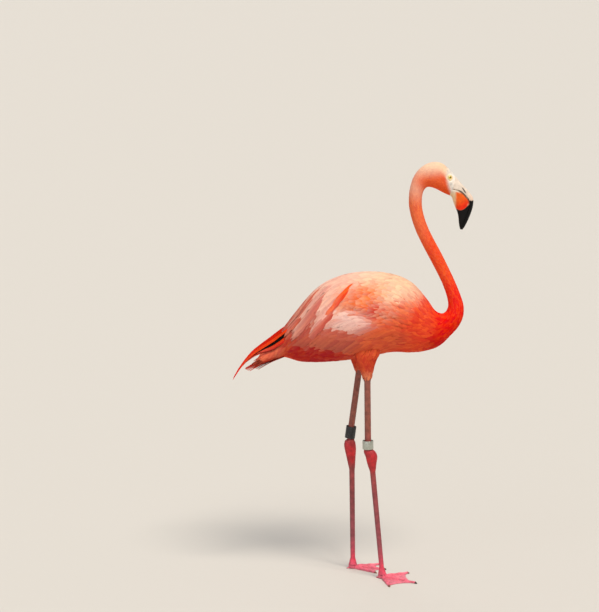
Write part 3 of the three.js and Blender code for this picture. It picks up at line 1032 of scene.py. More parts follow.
@dataclass(frozen=True)
class BirdSkin(Finish):
    """Bare skin: fine net-like scales in the colour stored on it, mottled, with a dull wet-free shine."""

    scale_mm: float = 2.4
    mottle: float = 0.35
    roughness: float = 0.48
    depth: float = 0.5

    def look(self, tree: NodeTree) -> dict[str, object]:
        """Darker grooves between small scales, blotches a centimetre wide, and light that sinks in a little.

        Args:
            tree: the material's nodes.
        Returns:
            The shader's inputs by name.
        """
        spot = add(tree, "ShaderNodeTexCoord").outputs["Object"]
        tint = add(tree, "ShaderNodeAttribute", attribute_name="tint")
        net = add(tree, "ShaderNodeAttribute", attribute_name="net").outputs["Fac"]
        scaled = {"Vector": spot, "Scale": 1000 / self.scale_mm}
        cells = add(tree, "ShaderNodeTexVoronoi", scaled, feature="DISTANCE_TO_EDGE")
        cloud = add(tree, "ShaderNodeTexNoise", {"Vector": spot, "Scale": 90.0, "Detail": 4.0})
        fine = add(tree, "ShaderNodeTexNoise", {"Vector": spot, "Scale": 900.0, "Detail": 3.0})
        cut = add(tree, "ShaderNodeMapRange", (cells, 0, 0.12, -0.3, 0.0))
        grooves = add(tree, "ShaderNodeMath", (cut, net, 1.0), operation="MULTIPLY_ADD")
        blotch = add(tree, "ShaderNodeMapRange", (cloud, 0.35, 0.7, 1 - self.mottle, 1.12))
        shade = add(tree, "ShaderNodeMath", (grooves, blotch), operation="MULTIPLY")
        height = add(tree, "ShaderNodeMath", (fine, 0.25, grooves), operation="MULTIPLY_ADD")
        return {
            "Base Color": add(tree, "ShaderNodeMix", {"Factor": 1.0, "A": tint, "B": shade}, **SHADED),
            "Normal": add(tree, "ShaderNodeBump", {"Strength": self.depth, "Distance": 0.0004, "Height": height}),
            "Roughness": self.roughness,
            "Subsurface Weight": 0.08,
            "Subsurface Radius": (0.004, 0.0015, 0.001),
        }


@dataclass(frozen=True)
class Horn(Finish):
    """Beak and claw horn: hard keratin in the colour stored on it, fine growth lines, a satin polish."""

    roughness: float = 0.38
    line_mm: float = 0.7
    depth: float = 0.25

    def look(self, tree: NodeTree) -> dict[str, object]:
        """Faint clouds in the colour, and drawn-out lines that break up the shine.

        Args:
            tree: the material's nodes.
        Returns:
            The shader's inputs by name.
        """
        spot = add(tree, "ShaderNodeTexCoord").outputs["Object"]
        tint = add(tree, "ShaderNodeAttribute", attribute_name="tint")
        drawn = add(tree, "ShaderNodeMapping", {"Vector": spot, "Scale": (1.0, 1.0, 0.3)})
        lines = add(tree, "ShaderNodeTexNoise", {"Vector": drawn, "Scale": 500 / self.line_mm, "Detail": 5.0})
        cloud = add(tree, "ShaderNodeTexNoise", {"Vector": spot, "Scale": 140.0, "Detail": 3.0})
        shade = add(tree, "ShaderNodeMapRange", (cloud, 0.3, 0.7, 0.86, 1.06))
        return {
            "Base Color": add(tree, "ShaderNodeMix", {"Factor": 1.0, "A": tint, "B": shade}, **SHADED),
            "Normal": add(tree, "ShaderNodeBump", {"Strength": self.depth, "Distance": 0.0003, "Height": lines}),
            "Roughness": add(tree, "ShaderNodeMapRange", (lines, 0.35, 0.65, self.roughness, self.roughness + 0.16)),
            "IOR": 1.54,
            "Specular IOR Level": 0.16,
        }


@dataclass(frozen=True)
class WetEye(Finish):
    """A wet eye: the colour stored on it with fine spokes in the iris, under a clear cornea."""

    def look(self, tree: NodeTree) -> dict[str, object]:
        """An iris that isn't flat, and a sharp highlight on it.

        Args:
            tree: the material's nodes.
        Returns:
            The shader's inputs by name.
        """
        spot = add(tree, "ShaderNodeTexCoord").outputs["Object"]
        tint = add(tree, "ShaderNodeAttribute", attribute_name="tint")
        spokes = add(tree, "ShaderNodeTexNoise", {"Vector": spot, "Scale": 1400.0, "Detail": 2.0})
        shade = add(tree, "ShaderNodeMapRange", (spokes, 0.3, 0.7, 0.82, 1.1))
        colour = add(tree, "ShaderNodeMix", {"Factor": 1.0, "A": tint, "B": shade}, **SHADED)
        return {"Base Color": colour, "Roughness": 0.08, "IOR": 1.38, "Coat Weight": 1.0, "Coat Roughness": 0.02}


@dataclass(frozen=True)
class BandFinish(Finish):
    """A leg band: moulded plastic or rolled metal, rubbed by the leg, with fine scratches and dust."""

    colour: str
    worn: str
    metallic: float
    roughness: float

    def look(self, tree: NodeTree) -> dict[str, object]:
        """Dusty patches, and scratches that run round the band.

        Args:
            tree: the material's nodes.
        Returns:
            The shader's inputs by name.
        """
        spot = add(tree, "ShaderNodeTexCoord").outputs["Object"]
        dust = add(tree, "ShaderNodeTexNoise", {"Vector": spot, "Scale": 260.0, "Detail": 6.0})
        drawn = add(tree, "ShaderNodeMapping", {"Vector": spot, "Scale": (1.0, 1.0, 14.0)})
        marks = add(tree, "ShaderNodeTexNoise", {"Vector": drawn, "Scale": 300.0, "Detail": 4.0})
        share = add(tree, "ShaderNodeMapRange", (dust, 0.5, 0.75, 0, 0.7))
        shine = (marks, 0.3, 0.7, self.roughness - 0.08, self.roughness + 0.14)
        mixed = {"Factor": share, "A": rgba(self.colour), "B": rgba(self.worn)}
        return {
            "Base Color": add(tree, "ShaderNodeMix", mixed, data_type="RGBA"),
            "Normal": add(tree, "ShaderNodeBump", {"Strength": 0.2, "Distance": 0.0002, "Height": marks}),
            "Roughness": add(tree, "ShaderNodeMapRange", shine),
            "Metallic": self.metallic,
        }


@dataclass(frozen=True)
class Paint(Finish):
    """Matt paint on the studio's floor."""

    colour: str

    def look(self, tree: NodeTree) -> dict[str, object]:
        """An even colour with no clear reflection.

        Args:
            tree: the material's nodes.
        Returns:
            The shader's inputs by name.
        """
        spot = add(tree, "ShaderNodeTexCoord").outputs["Object"]
        grain = add(tree, "ShaderNodeTexNoise", {"Vector": spot, "Scale": 60.0, "Detail": 3.0})
        rough = add(tree, "ShaderNodeMapRange", (grain, 0, 1, 0.75, 0.95))
        return {"Base Color": rgba(self.colour), "Roughness": rough}


class Finishes:
    """Every material of the bird, made once."""

    def __init__(self) -> None:
        """Makes them."""
        # short soft feathers with almost no lines: the neck looks like velvet
        self.down = Feather("down_feathers", barbs=9, depth=0.35, variety=0.12).make()
        # the body's feathers: each one shows
        self.coverts = Feather("covert_feathers", barbs=20).make()
        # long feathers: fine close lines along stiff vanes
        self.quills = Feather("flight_feathers", barbs=60, depth=0.6).make()
        # legs and feet: fine net-like scales
        self.skin = BirdSkin("scaled_bird_skin").make()
        # plates down the legs: smoother and broader than the skin between
        self.scales = BirdSkin("leg_scales", scale_mm=9.0, depth=0.3).make()
        # the bill: satin, pale to black
        self.horn = Horn("bill_horn").make()
        # the claws: as the bill, with finer lines
        self.claw = Horn("claw_horn", line_mm=0.5).make()
        # the eyes: wet and bright
        self.eye = WetEye("eye_wet").make()
        # one band: black and dusty, with a soft shine
        self.plastic = BandFinish("moulded_plastic", "#17191c", "#4a4846", metallic=0.0, roughness=0.42).make()
        # the other band: dull light grey metal
        self.metal = BandFinish("rolled_aluminium", "#b9bcb2", "#8f8f84", metallic=0.85, roughness=0.42).make()


def dress(piece: Object, material: Material | None, slot: str, *nodes: str) -> Object:
    """Gives a piece its finish and its body, and hides the nodes that it stands for.

    Args:
        piece: the piece.
        material: its finish, or None where it has one.
        slot: not used.
        nodes: the nodes that it stands for.
    Returns:
        The piece.
    """
    if material is not None:
        piece.data.materials.clear()
        piece.data.materials.append(material)
    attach(piece, BODY)
    if nodes:
        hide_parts(*nodes)
    triangles = sum(len(face.vertices) - 2 for face in piece.data.polygons)
    LOG.info("%s: %d triangles", piece.name, triangles)
    return piece


# ---- body


class Region(Enum):
    """Which stretch of the body's side a tract of feathers covers."""

    ALL = "all"
    WING_FRONT = "wing front"
    WING_REAR = "wing rear"
    UNDER_WING = "under wing"
    FACE = "face"

    def share(self, points: np.ndarray) -> np.ndarray:
        """How thickly the tract covers each point, 0 to 1.

        Args:
            points: points in the bird's millimetres.
        Returns:
            The share at each.
        """
        x, z = points[..., 0], points[..., 2]
        over_hem = z - np.interp(x, *np.array(HEM).T)
        wing = ramp(-5, 5, over_hem) * ramp(124, 116, x)  # above the hem, as far forward as the shoulder
        if self is Region.WING_FRONT:
            return wing * ramp(-10, 10, x)
        if self is Region.WING_REAR:
            return wing * ramp(24, 4, x)
        if self is Region.UNDER_WING:
            return 1 - ramp(8, 18, over_hem) * ramp(112, 100, x)  # it reaches a little way in under the wing
        if self is Region.FACE:
            bill = ramp(203, 207, x + 0.25 * (z - 1060))  # the slanting line where the feathers stop
            return (1 - bill) * ramp(8.5, 10.0, np.hypot(x - EYE_X, z - EYE_Z))
        return np.ones(x.shape)


# The folded wing's lower edge, by x and z.
HEM = (
    (-240, 668), (-224, 656), (-190, 646), (-139, 632), (-91, 615), (-46, 598), (-10, 592), (30, 606), (62, 660),
    (98, 708), (120, 745),
)
# Which way the side's feathers point: x, z, then the step forward and up.
FLOW = np.array([
    (200, 660, -0.8, -0.35), (150, 690, -1.0, -0.1), (225, 740, -0.15, -1.0), (130, 730, -1.0, 0.05),
    (90, 700, -1.0, 0.25), (60, 740, -1.0, 0.3), (60, 800, -1.0, 0.1), (0, 740, -1.0, 0.2),
    (0, 690, -1.0, 0.05), (50, 670, -0.9, -0.2), (30, 630, -0.6, -0.6), (-15, 620, -0.5, -0.8),
    (0, 830, -1.0, -0.05), (-60, 800, -0.8, -0.5), (-110, 770, -0.65, -0.75), (-60, 700, -1.0, -0.1),
    (-140, 690, -0.5, -0.85), (-190, 700, -0.5, -0.85), (-190, 650, -0.5, -0.8), (-235, 650, -0.8, -0.6),
    (-80, 610, -1.0, -0.1), (-150, 610, -1.0, -0.1), (60, 600, -1.0, 0.0), (-290, 590, -1.0, -0.3),
])


@dataclass(frozen=True)
class Tract:
    """Small feathers of one kind over a stretch of the body. Pairs run from the stretch's rear to its front."""

    name: str
    slot: str
    span: tuple[float, float]  # in SPINE rows
    region: Region
    blade: Vane
    spacing: float
    length: tuple[float, float]
    width: tuple[float, float]
    tip: tuple[float, float] = (0.1, 0.1)
    rise: float = 0.34  # how high the tips stand over the roots, as a share of the coat's depth


@dataclass(frozen=True)
class FeatherRow:
    """A row of long feathers on the wing, seen from the side: where the quills and tips lie, and each one's size."""

    roots: tuple[tuple[float, float], ...]
    tips: tuple[tuple[float, float], ...]
    count: int
    width: float
    base: float
    lift: float
    tip: float
    colour: str | None = None
    tinted: float = 0.0  # how far that colour goes over the coat's own


TURN = 7.0  # how far one small feather turns from the next, degrees
EDGE = 0.12  # how softly a tract's ends fade, in SPINE rows
BODY_TUFT = Vane("contour_feather", rows=7, columns=5, point=0.65, root=0.4, ragged=0.16)
NECK_TUFT = Vane("neck_feather", rows=6, columns=3, point=0.8, root=0.6, ragged=0.16, splits=1, arch=0.4)
FACE_TUFT = Vane("face_feather", rows=5, columns=3, point=0.8, root=0.6, ragged=0.08, splits=0, arch=0.4)
LOOSE_TUFT = Vane("flank_plume", rows=10, columns=5, point=0.9, root=0.3, ragged=0.22, splits=4)
LONG_BLADE = Vane("long_feather", rows=14, columns=7, point=0.7, root=0.35, ragged=0.12, splits=5, arch=0.24)

CORAL_SLOT, SALMON_SLOT, SCARLET_SLOT = "plumage_coral", "plumage_salmon", "plumage_scarlet"
HIDDEN = Region.UNDER_WING
TRACTS = (
    Tract("rump_feathers", CORAL_SLOT, (0.9, 4.0), HIDDEN, LOOSE_TUFT, 6.4, (48, 60), (12, 14), (0.15, 0.1), 0.42),
    Tract("flank_feathers", CORAL_SLOT, (3.6, 8.9), HIDDEN, LOOSE_TUFT, 6.0, (62, 50), (12, 10), (0.05, 0.1), 0.42),
    Tract("breast_feathers", CORAL_SLOT, (8.4, 13.0), HIDDEN, BODY_TUFT, 4.6, (46, 26), (9.5, 6.0), (0.14, 0.05)),
    Tract(
        "mantle_feathers", SALMON_SLOT, (1.7, 7.6), Region.WING_REAR, LOOSE_TUFT, 7.8, (88, 66), (17, 15),
        (0.5, 0.55), 0.4,
    ),
    Tract(
        "shoulder_feathers", SALMON_SLOT, (5.6, 10.2), Region.WING_FRONT, LOOSE_TUFT, 6.2, (66, 46), (13, 10),
        (0.5, 0.25), 0.4,
    ),
    Tract(
        "lower_neck_feathers", SCARLET_SLOT, (12.7, 16.6), Region.ALL, NECK_TUFT, 2.9, (26, 21), (6.2, 5.0),
        (0.04, 0.1),
    ),
    Tract("upper_neck_feathers", SALMON_SLOT, (16.3, 20.2), Region.ALL, NECK_TUFT, 2.5, (20, 13), (4.9, 4.0)),
    Tract("crown_feathers", SALMON_SLOT, (19.8, 23.2), Region.ALL, FACE_TUFT, 1.95, (12, 8.5), (3.9, 3.4)),
    Tract("face_feathers", SALMON_SLOT, (22.8, 25.8), Region.FACE, FACE_TUFT, 1.65, (8, 4.2), (3.1, 2.3)),
)

WING_ROWS = (
    FeatherRow(
        ((62, 664), (0, 684), (-60, 700), (-112, 714)),
        ((-46, 606), (-100, 624), (-160, 642), (-218, 662)),
        22, 19, 1.8, 5.0, 0.3,
    ),
    FeatherRow(
        ((92, 684), (40, 704), (-20, 720), (-60, 728)),
        ((-8, 664), (-56, 682), (-108, 700), (-146, 706)),
        24, 15, 2.2, 5.0, 0.5,
    ),
    FeatherRow(
        ((100, 706), (50, 728), (0, 746), (-34, 760)),
        ((30, 716), (-20, 736), (-66, 748), (-98, 746)),
        24, 12, 2.4, 4.6, 0.55,
    ),
    FeatherRow(
        ((-30, 812), (-50, 790), (-70, 764)), ((-132, 694), (-150, 664), (-160, 646)),
        11, 17, 2.6, 5.4, 0.4, "#e2604a", 0.3,
    ),
    FeatherRow(
        ((-66, 818), (-92, 796), (-118, 768)), ((-164, 690), (-186, 662), (-200, 650)),
        10, 17, 2.8, 5.6, 0.5, "#f0a090", 0.3,
    ),
    FeatherRow(
        ((-104, 806), (-132, 778), (-158, 746)), ((-196, 700), (-216, 674), (-232, 658)),
        10, 16, 2.8, 5.8, 0.5, "#e2604a", 0.25,
    ),
    FeatherRow(
        ((-24, 818), (-38, 808), (-50, 796)), ((-100, 730), (-112, 720), (-122, 708)),
        5, 14, 1.4, 8.0, 0.2, "#f4501c", 0.95,
    ),
)


class Body:
    """Tail root, trunk, neck and head: the skin under the coat, and the coat of contour feathers and folded wings."""

    def __init__(self, plumage: Plumage, finishes: Finishes) -> None:
        """Finds the skin's surface."""
        self.plumage, self.finishes = plumage, finishes
        self.surface, self.stations = body_surface()

    def station(self, u: np.ndarray) -> np.ndarray:
        """Where along SPINE places on the body are."""
        return np.interp(u, self.surface.us, self.stations)

    def heading(self, u: np.ndarray, v: np.ndarray, spots: np.ndarray) -> np.ndarray:
        """Which way feathers point at places on the body.

        Args:
            u: the places along the surface, 0 to 1.
            v: the places round it, 0 to 1.
            spots: the points at those places.
        Returns:
            A direction for each.
        """
        away = self.surface.spots(np.clip(u - 0.004, 0, 1), v) - spots
        gaps = (spots[:, None, [0, 2]] - FLOW[None, :, :2]) ** 2
        weights = 1 / (gaps.sum(-1) + 400) ** 2
        steps = weights @ FLOW[:, 2:] / weights.sum(1, keepdims=True)
        return blend(unit(in_plane(steps)), unit(away), ramp(10.5, 12.5, self.station(u)))

    def tract(self, plan: Tract, seed: int) -> Object:
        """One tract's feathers as a piece.

        Args:
            plan: the tract.
            seed: what its random draws start from.
        Returns:
            The piece, dressed.
        """
        start, end = plan.span
        along = ramp(start - EDGE, start + EDGE, self.stations) * ramp(end + EDGE, end - EDGE, self.stations)
        share = along[:, None] * plan.region.share(self.surface.points)
        u, v = self.plumage.spread(self.surface, share, plan.spacing, seed)
        spots = self.surface.spots(u, v)
        part = np.clip((self.station(u) - start) / (end - start), 0, 1)
        rng = np.random.default_rng(seed)
        length, width, tip = (a + (b - a) * part for a, b in (plan.length, plan.width, plan.tip))
        vary = rng.uniform(0.85, 1.15, len(u))
        depth = np.interp(self.station(u), np.arange(len(SPINE)), SPINE[:, 4])
        depth = depth * rng.uniform(0.85, 1.0, len(u))
        heading = self.heading(u, v, spots)
        lift, base = depth * plan.rise, depth * 0.25
        roots = Roots(u, v, heading, length * vary, width * vary, lift, base, tip, loose=TURN)
        finish = self.finishes.down if plan.blade in (NECK_TUFT, FACE_TUFT) else self.finishes.coverts
        piece = self.plumage.lay(plan.name, self.surface, roots, self.plumage.blades(plan.blade), finish, seed)
        return dress(piece, None, plan.slot)

    def places(self, seen: np.ndarray, side: float) -> tuple[np.ndarray, np.ndarray]:
        """Where points given by x and z, as seen from one side, lie on the trunk.

        Args:
            seen: x and z of each.
            side: -1 for the right, 1 for the left.
        Returns:
            Their u and v.
        """
        columns = self.surface.points.shape[1]
        trunk = (self.stations < 12)[:, None] & (self.surface.points[..., 1] * side > 0)
        rows, across = np.nonzero(trunk)
        gaps = ((seen[:, None] - self.surface.points[rows, across][None][..., [0, 2]]) ** 2).sum(-1)
        near = np.argpartition(gaps, 6, axis=1)[:, :6]
        weights = 1 / (np.take_along_axis(gaps, near, 1) + 2.0) ** 1.5
        weights /= weights.sum(1, keepdims=True)
        return (weights * self.surface.us[rows[near]]).sum(1), (weights * across[near]).sum(1) / columns

    def wing(self, side_name: str) -> Object:
        """The long feathers of one folded wing: secondaries, coverts in rows, and scapulars over them.

        Args:
            side_name: right or left.
        Returns:
            The piece, dressed.
        """
        side = SIDES[side_name]
        rng = np.random.default_rng(7)
        parts: list[Roots] = []
        for row in WING_ROWS:
            t = np.linspace(0, 1, row.count)
            at = [t * (len(p) - 1) for p in (row.roots, row.tips)]
            start, end = (along_rows(np.array(p, float), a) for p, a in zip((row.roots, row.tips), at))
            start, end = start + rng.normal(0, 1.6, start.shape), end + rng.normal(0, 3.5, end.shape)
            u, v = self.places(start, side)
            spots, ends = (self.surface.spots(*self.places(p, side)) for p in (start, end))
            own = np.ones(row.count)
            tint = plumage_colour_and_light(0.4 * spots + 0.6 * ends)
            if row.colour:
                tint = blend(tint, row.colour, row.tinted)
            way = ends - spots
            length, base = np.linalg.norm(way, axis=1), own * row.base + 0.35 * (t % 0.2)
            parts.append(Roots(u, v, way, length, own * row.width, own * row.lift, base, own * row.tip, tint))
        roots = Roots.joined(parts)
        name = f"wing_feathers_{side_name}"
        piece = self.plumage.lay(name, self.surface, roots, self.plumage.blades(LONG_BLADE), self.finishes.quills, 11)
        return dress(piece, None, "plumage_salmon", f"wing_{side_name}")

    def build(self) -> list[Object]:
        """The whole coat."""
        coat = [self.tract(plan, seed) for seed, plan in enumerate(TRACTS, 3)]
        return coat + [self.wing(side) for side in SIDES]


# ---- long feathers of tail and wing tips


@dataclass
class Quill:
    """One long feather on a curve of its own: a thin closed blade with a raised shaft."""

    path: np.ndarray  # points along the shaft
    across: np.ndarray  # the direction its vane spreads in
    width: float
    colour: str
    tip: float = 0.3
    thick: float = 1.3
    rows: int = 18
    shape: tuple[float, ...] = (0.35, 0.8, 1.0, 1.0, 0.85, 0.5, 0.12)

    def build(self, rng: np.random.Generator) -> tuple[Shell, np.ndarray]:
        """Its shell, and each point's place on its vane.

        Args:
            rng: where the draws for its edge come from.
        Returns:
            The shell and the places.
        """
        t = np.linspace(0, 1, self.rows)
        line = along_rows(self.path, t * (len(self.path) - 1))
        along = unit(np.gradient(line, axis=0))
        side = unit(self.across - np.sum(along * self.across, 1, keepdims=True) * along)
        out = np.cross(along, side)
        half = self.width / 2 * np.interp(t, np.linspace(0, 1, len(self.shape)), self.shape)
        s = np.array([-1, -0.55, -0.12, 0, 0.12, 0.55, 1])
        edge = np.ones((self.rows, len(s)))
        edge[:, [0, -1]] -= 0.13 * rng.random((self.rows, 2))
        reach = s * edge * half[:, None]
        arch = np.minimum(self.thick * np.array([0, 0.55, 0.7, 1.0, 0.7, 0.55, 0]), half[:, None])
        top = line[:, None] + side[:, None] * reach[..., None] + out[:, None] * arch[..., None]
        vane = np.stack([np.repeat(t, len(s)), np.tile(s / 2 + 0.5, self.rows)], 1)
        return (top.reshape(-1, 3), blade_faces(self.rows, len(s))), vane


def quill_piece(name: str, quills: Sequence[Quill], finish: Material, seed: int) -> Object:
    """Long feathers as one piece, with the attributes and the OFBake map of the rest of the coat.

    Args:
        name: the piece's name.
        quills: the feathers.
        finish: their material.
        seed: what the random draws start from.
    Returns:
        The piece, not yet dressed.
    """
    rng = np.random.default_rng(seed)
    kinds = {"tint": "FLOAT_COLOR", "tip": "FLOAT", "own": "FLOAT", "vane": "FLOAT2", "root": "FLOAT_VECTOR"}
    store: dict[str, list[np.ndarray]] = {key: [] for key in kinds}
    shells: list[Shell] = []
    for number, quill in enumerate(quills):
        shell, vane = quill.build(rng)
        shells.append(shell)
        root = [(number + 0.5) / len(quills), quill.path[0][1] / 120 + 0.5, 0]  # its own spot on the OFBake map
        alike = {"tint": linear(quill.colour), "tip": quill.tip, "own": rng.random(), "root": root}
        for key, value in alike.items():
            store[key].append(np.full((len(vane), np.size(value)), value))
        store["vane"].append(vane)
    piece = make_piece(name, merged(shells))
    for key, kind in kinds.items():
        put(piece.data, key, np.concatenate(store[key]), kind)
    Plumage.map_for_bake(piece.data)
    piece.data.attributes.remove(piece.data.attributes["root"])
    piece.data.materials.append(finish)
    return piece


@dataclass
class Tail:
    """The short fan of tail feathers, with the coverts that lie over and under its quills."""

    finish: Material
    spread: float = 29.0
    end: float = -341.0
    shape: tuple[float, ...] = (0.5, 0.85, 1.0, 1.0, 0.94, 0.72, 0.14)

    def fan(
        self,
        count: int,
        root: tuple[float, float],
        tip: tuple[float, float],
        spread: float,
        width: float,
        colour: str,
    ) -> list[Quill]:
        """One layer of the fan, from the middle feather outwards.

        Args:
            root: x and z of the quills' roots.
            tip: x and z of the middle feather's tip.
            spread: how far the outermost tips are from the middle.
        Returns:
            The layer's feathers.
        """
        quills = []
        for k in sorted(np.linspace(-1, 1, count), key=abs, reverse=True):
            bulge = 3.0 * (1 - abs(k))
            start = np.array([root[0], k * spread * 0.55, root[1] - 3 * abs(k)])
            stop = np.array([tip[0] + 13 * k * k, k * spread, tip[1] - 1.5 * abs(k)])
            middle = (start + stop) / 2 + np.array([0, 0, 3 + bulge * 0.6])
            path = np.array([start, middle, stop])
            quills.append(Quill(path, np.array([0.0, 1.0, 0.0]), width, colour, 0.06, shape=self.shape))
        return quills

    def build(self) -> Object:
        """The tail.

        Returns:
            The piece, dressed.
        """
        quills = self.fan(11, (-236, 612), (self.end + 1, 565.5), self.spread, 20, "#e8452c")
        quills += self.fan(9, (-236, 602), (-318, 568.5), 24, 18, "#d83a26")
        quills += self.fan(9, (-236, 622), (-322, 578), 26, 20, "#e05c42")
        quills += self.fan(9, (-232, 636), (-306, 592), 25, 20, "#e4684e")
        return dress(quill_piece("tail_feathers", quills, self.finish, 21), None, "plumage_coral", "tail")


@dataclass
class WingTip:
    """One wing's drooping plumes past the tail, with the black flight feathers showing between them."""

    side: str
    finish: Material
    # middle line and half height of the bundle, then how far out it is and how thick
    line: tuple[tuple[float, ...], ...] = (
        (-222, 664, 19, 34, 6.0), (-240.5, 652, 18, 33, 7.5), (-269, 632.5, 14.5, 28, 6.5),
        (-297, 617, 9.5, 22, 4.5), (-324.5, 597.5, 6, 17, 2.2), (-350.5, 569.5, 2.8, 12, 1.0),
        (-372.5, 535.5, 0.7, 10, 0.4),
    )
    # each plume: its height in the bundle, its depth in it, how far it reaches, its width, colour and paleness
    # the deeper reds of the lower plumes, darkest at the inner side, are partly painted shade under the bundle
    plumes: tuple[tuple[float, float, float, float, str, float], ...] = (
        (-0.55, -0.7, 0.62, 15, "#c41a0e", 0.1), (-0.2, -0.5, 0.74, 14, "#d42410", 0.1),
        (0.55, -0.3, 0.86, 13, "#f03410", 0.03), (0.2, 0.0, 0.66, 11, "#17100f", 0.0),
        (0.48, 0.12, 0.72, 11, "#120d0d", 0.0), (0.3, 0.3, 0.56, 11, "#1a1110", 0.0),
        (0.42, 0.5, 0.62, 10, "#140e0e", 0.0), (-0.1, 0.3, 0.56, 13, "#e62a12", 0.1),
        (-0.45, 0.42, 0.5, 13, "#d8281a", 0.1), (0.88, 0.35, 1.0, 8, "#f42e08", 0.03),
        (0.84, 0.55, 0.93, 8, "#f43c12", 0.03), (0.8, 0.8, 0.84, 7, "#f0340e", 0.03),
    )

    def build(self) -> Object:
        """The bundle of plumes.

        Returns:
            The piece, dressed.
        """
        side = SIDES[self.side]
        rows = np.array(self.line)
        quills = []
        for height, depth, reach, width, colour, tip in self.plumes:
            at = along_rows(rows, np.linspace(0, reach, 9) * (len(rows) - 1))
            z = at[:, 1] + height * at[:, 2] * 0.92
            y = side * (at[:, 3] + depth * at[:, 4] * 0.8)
            path = np.stack([at[:, 0], y, z], 1)
            quills.append(Quill(path, np.array([0.0, 0.15, -1.0 * side]), width, colour, tip, 1.0))
        name = f"wing_tip_plumes_{self.side}"
        return dress(quill_piece(name, quills, self.finish, 31), None, "plumage_scarlet", f"wing_tip_{self.side}")


# ---- legs and feet


def leg_colour(points: np.ndarray) -> np.ndarray:
    """The bare leg's linear colour: brown rose above the ankle, red on it, dull rose under it, pink feet.

    Args:
        points: points in the bird's millimetres.
    Returns:
        The colour at each.
    """
    heights = np.array([0, 14, 30, 56, 90, 200, 285, 306, 330, 352, 372, 420, 560.0])
    foot = "#f57c90 #ee5a76 #de3c56 #c04458".split()
    names = [*foot, *"#a04a54 #944246 #a04040 #b81c24 #c81e26 #b4242c #9c443e #94503f #945040".split()]
    table = np.array([linear(name) for name in names])
    return np.stack([np.interp(points[:, 2], heights, table[:, k]) for k in range(3)], 1)


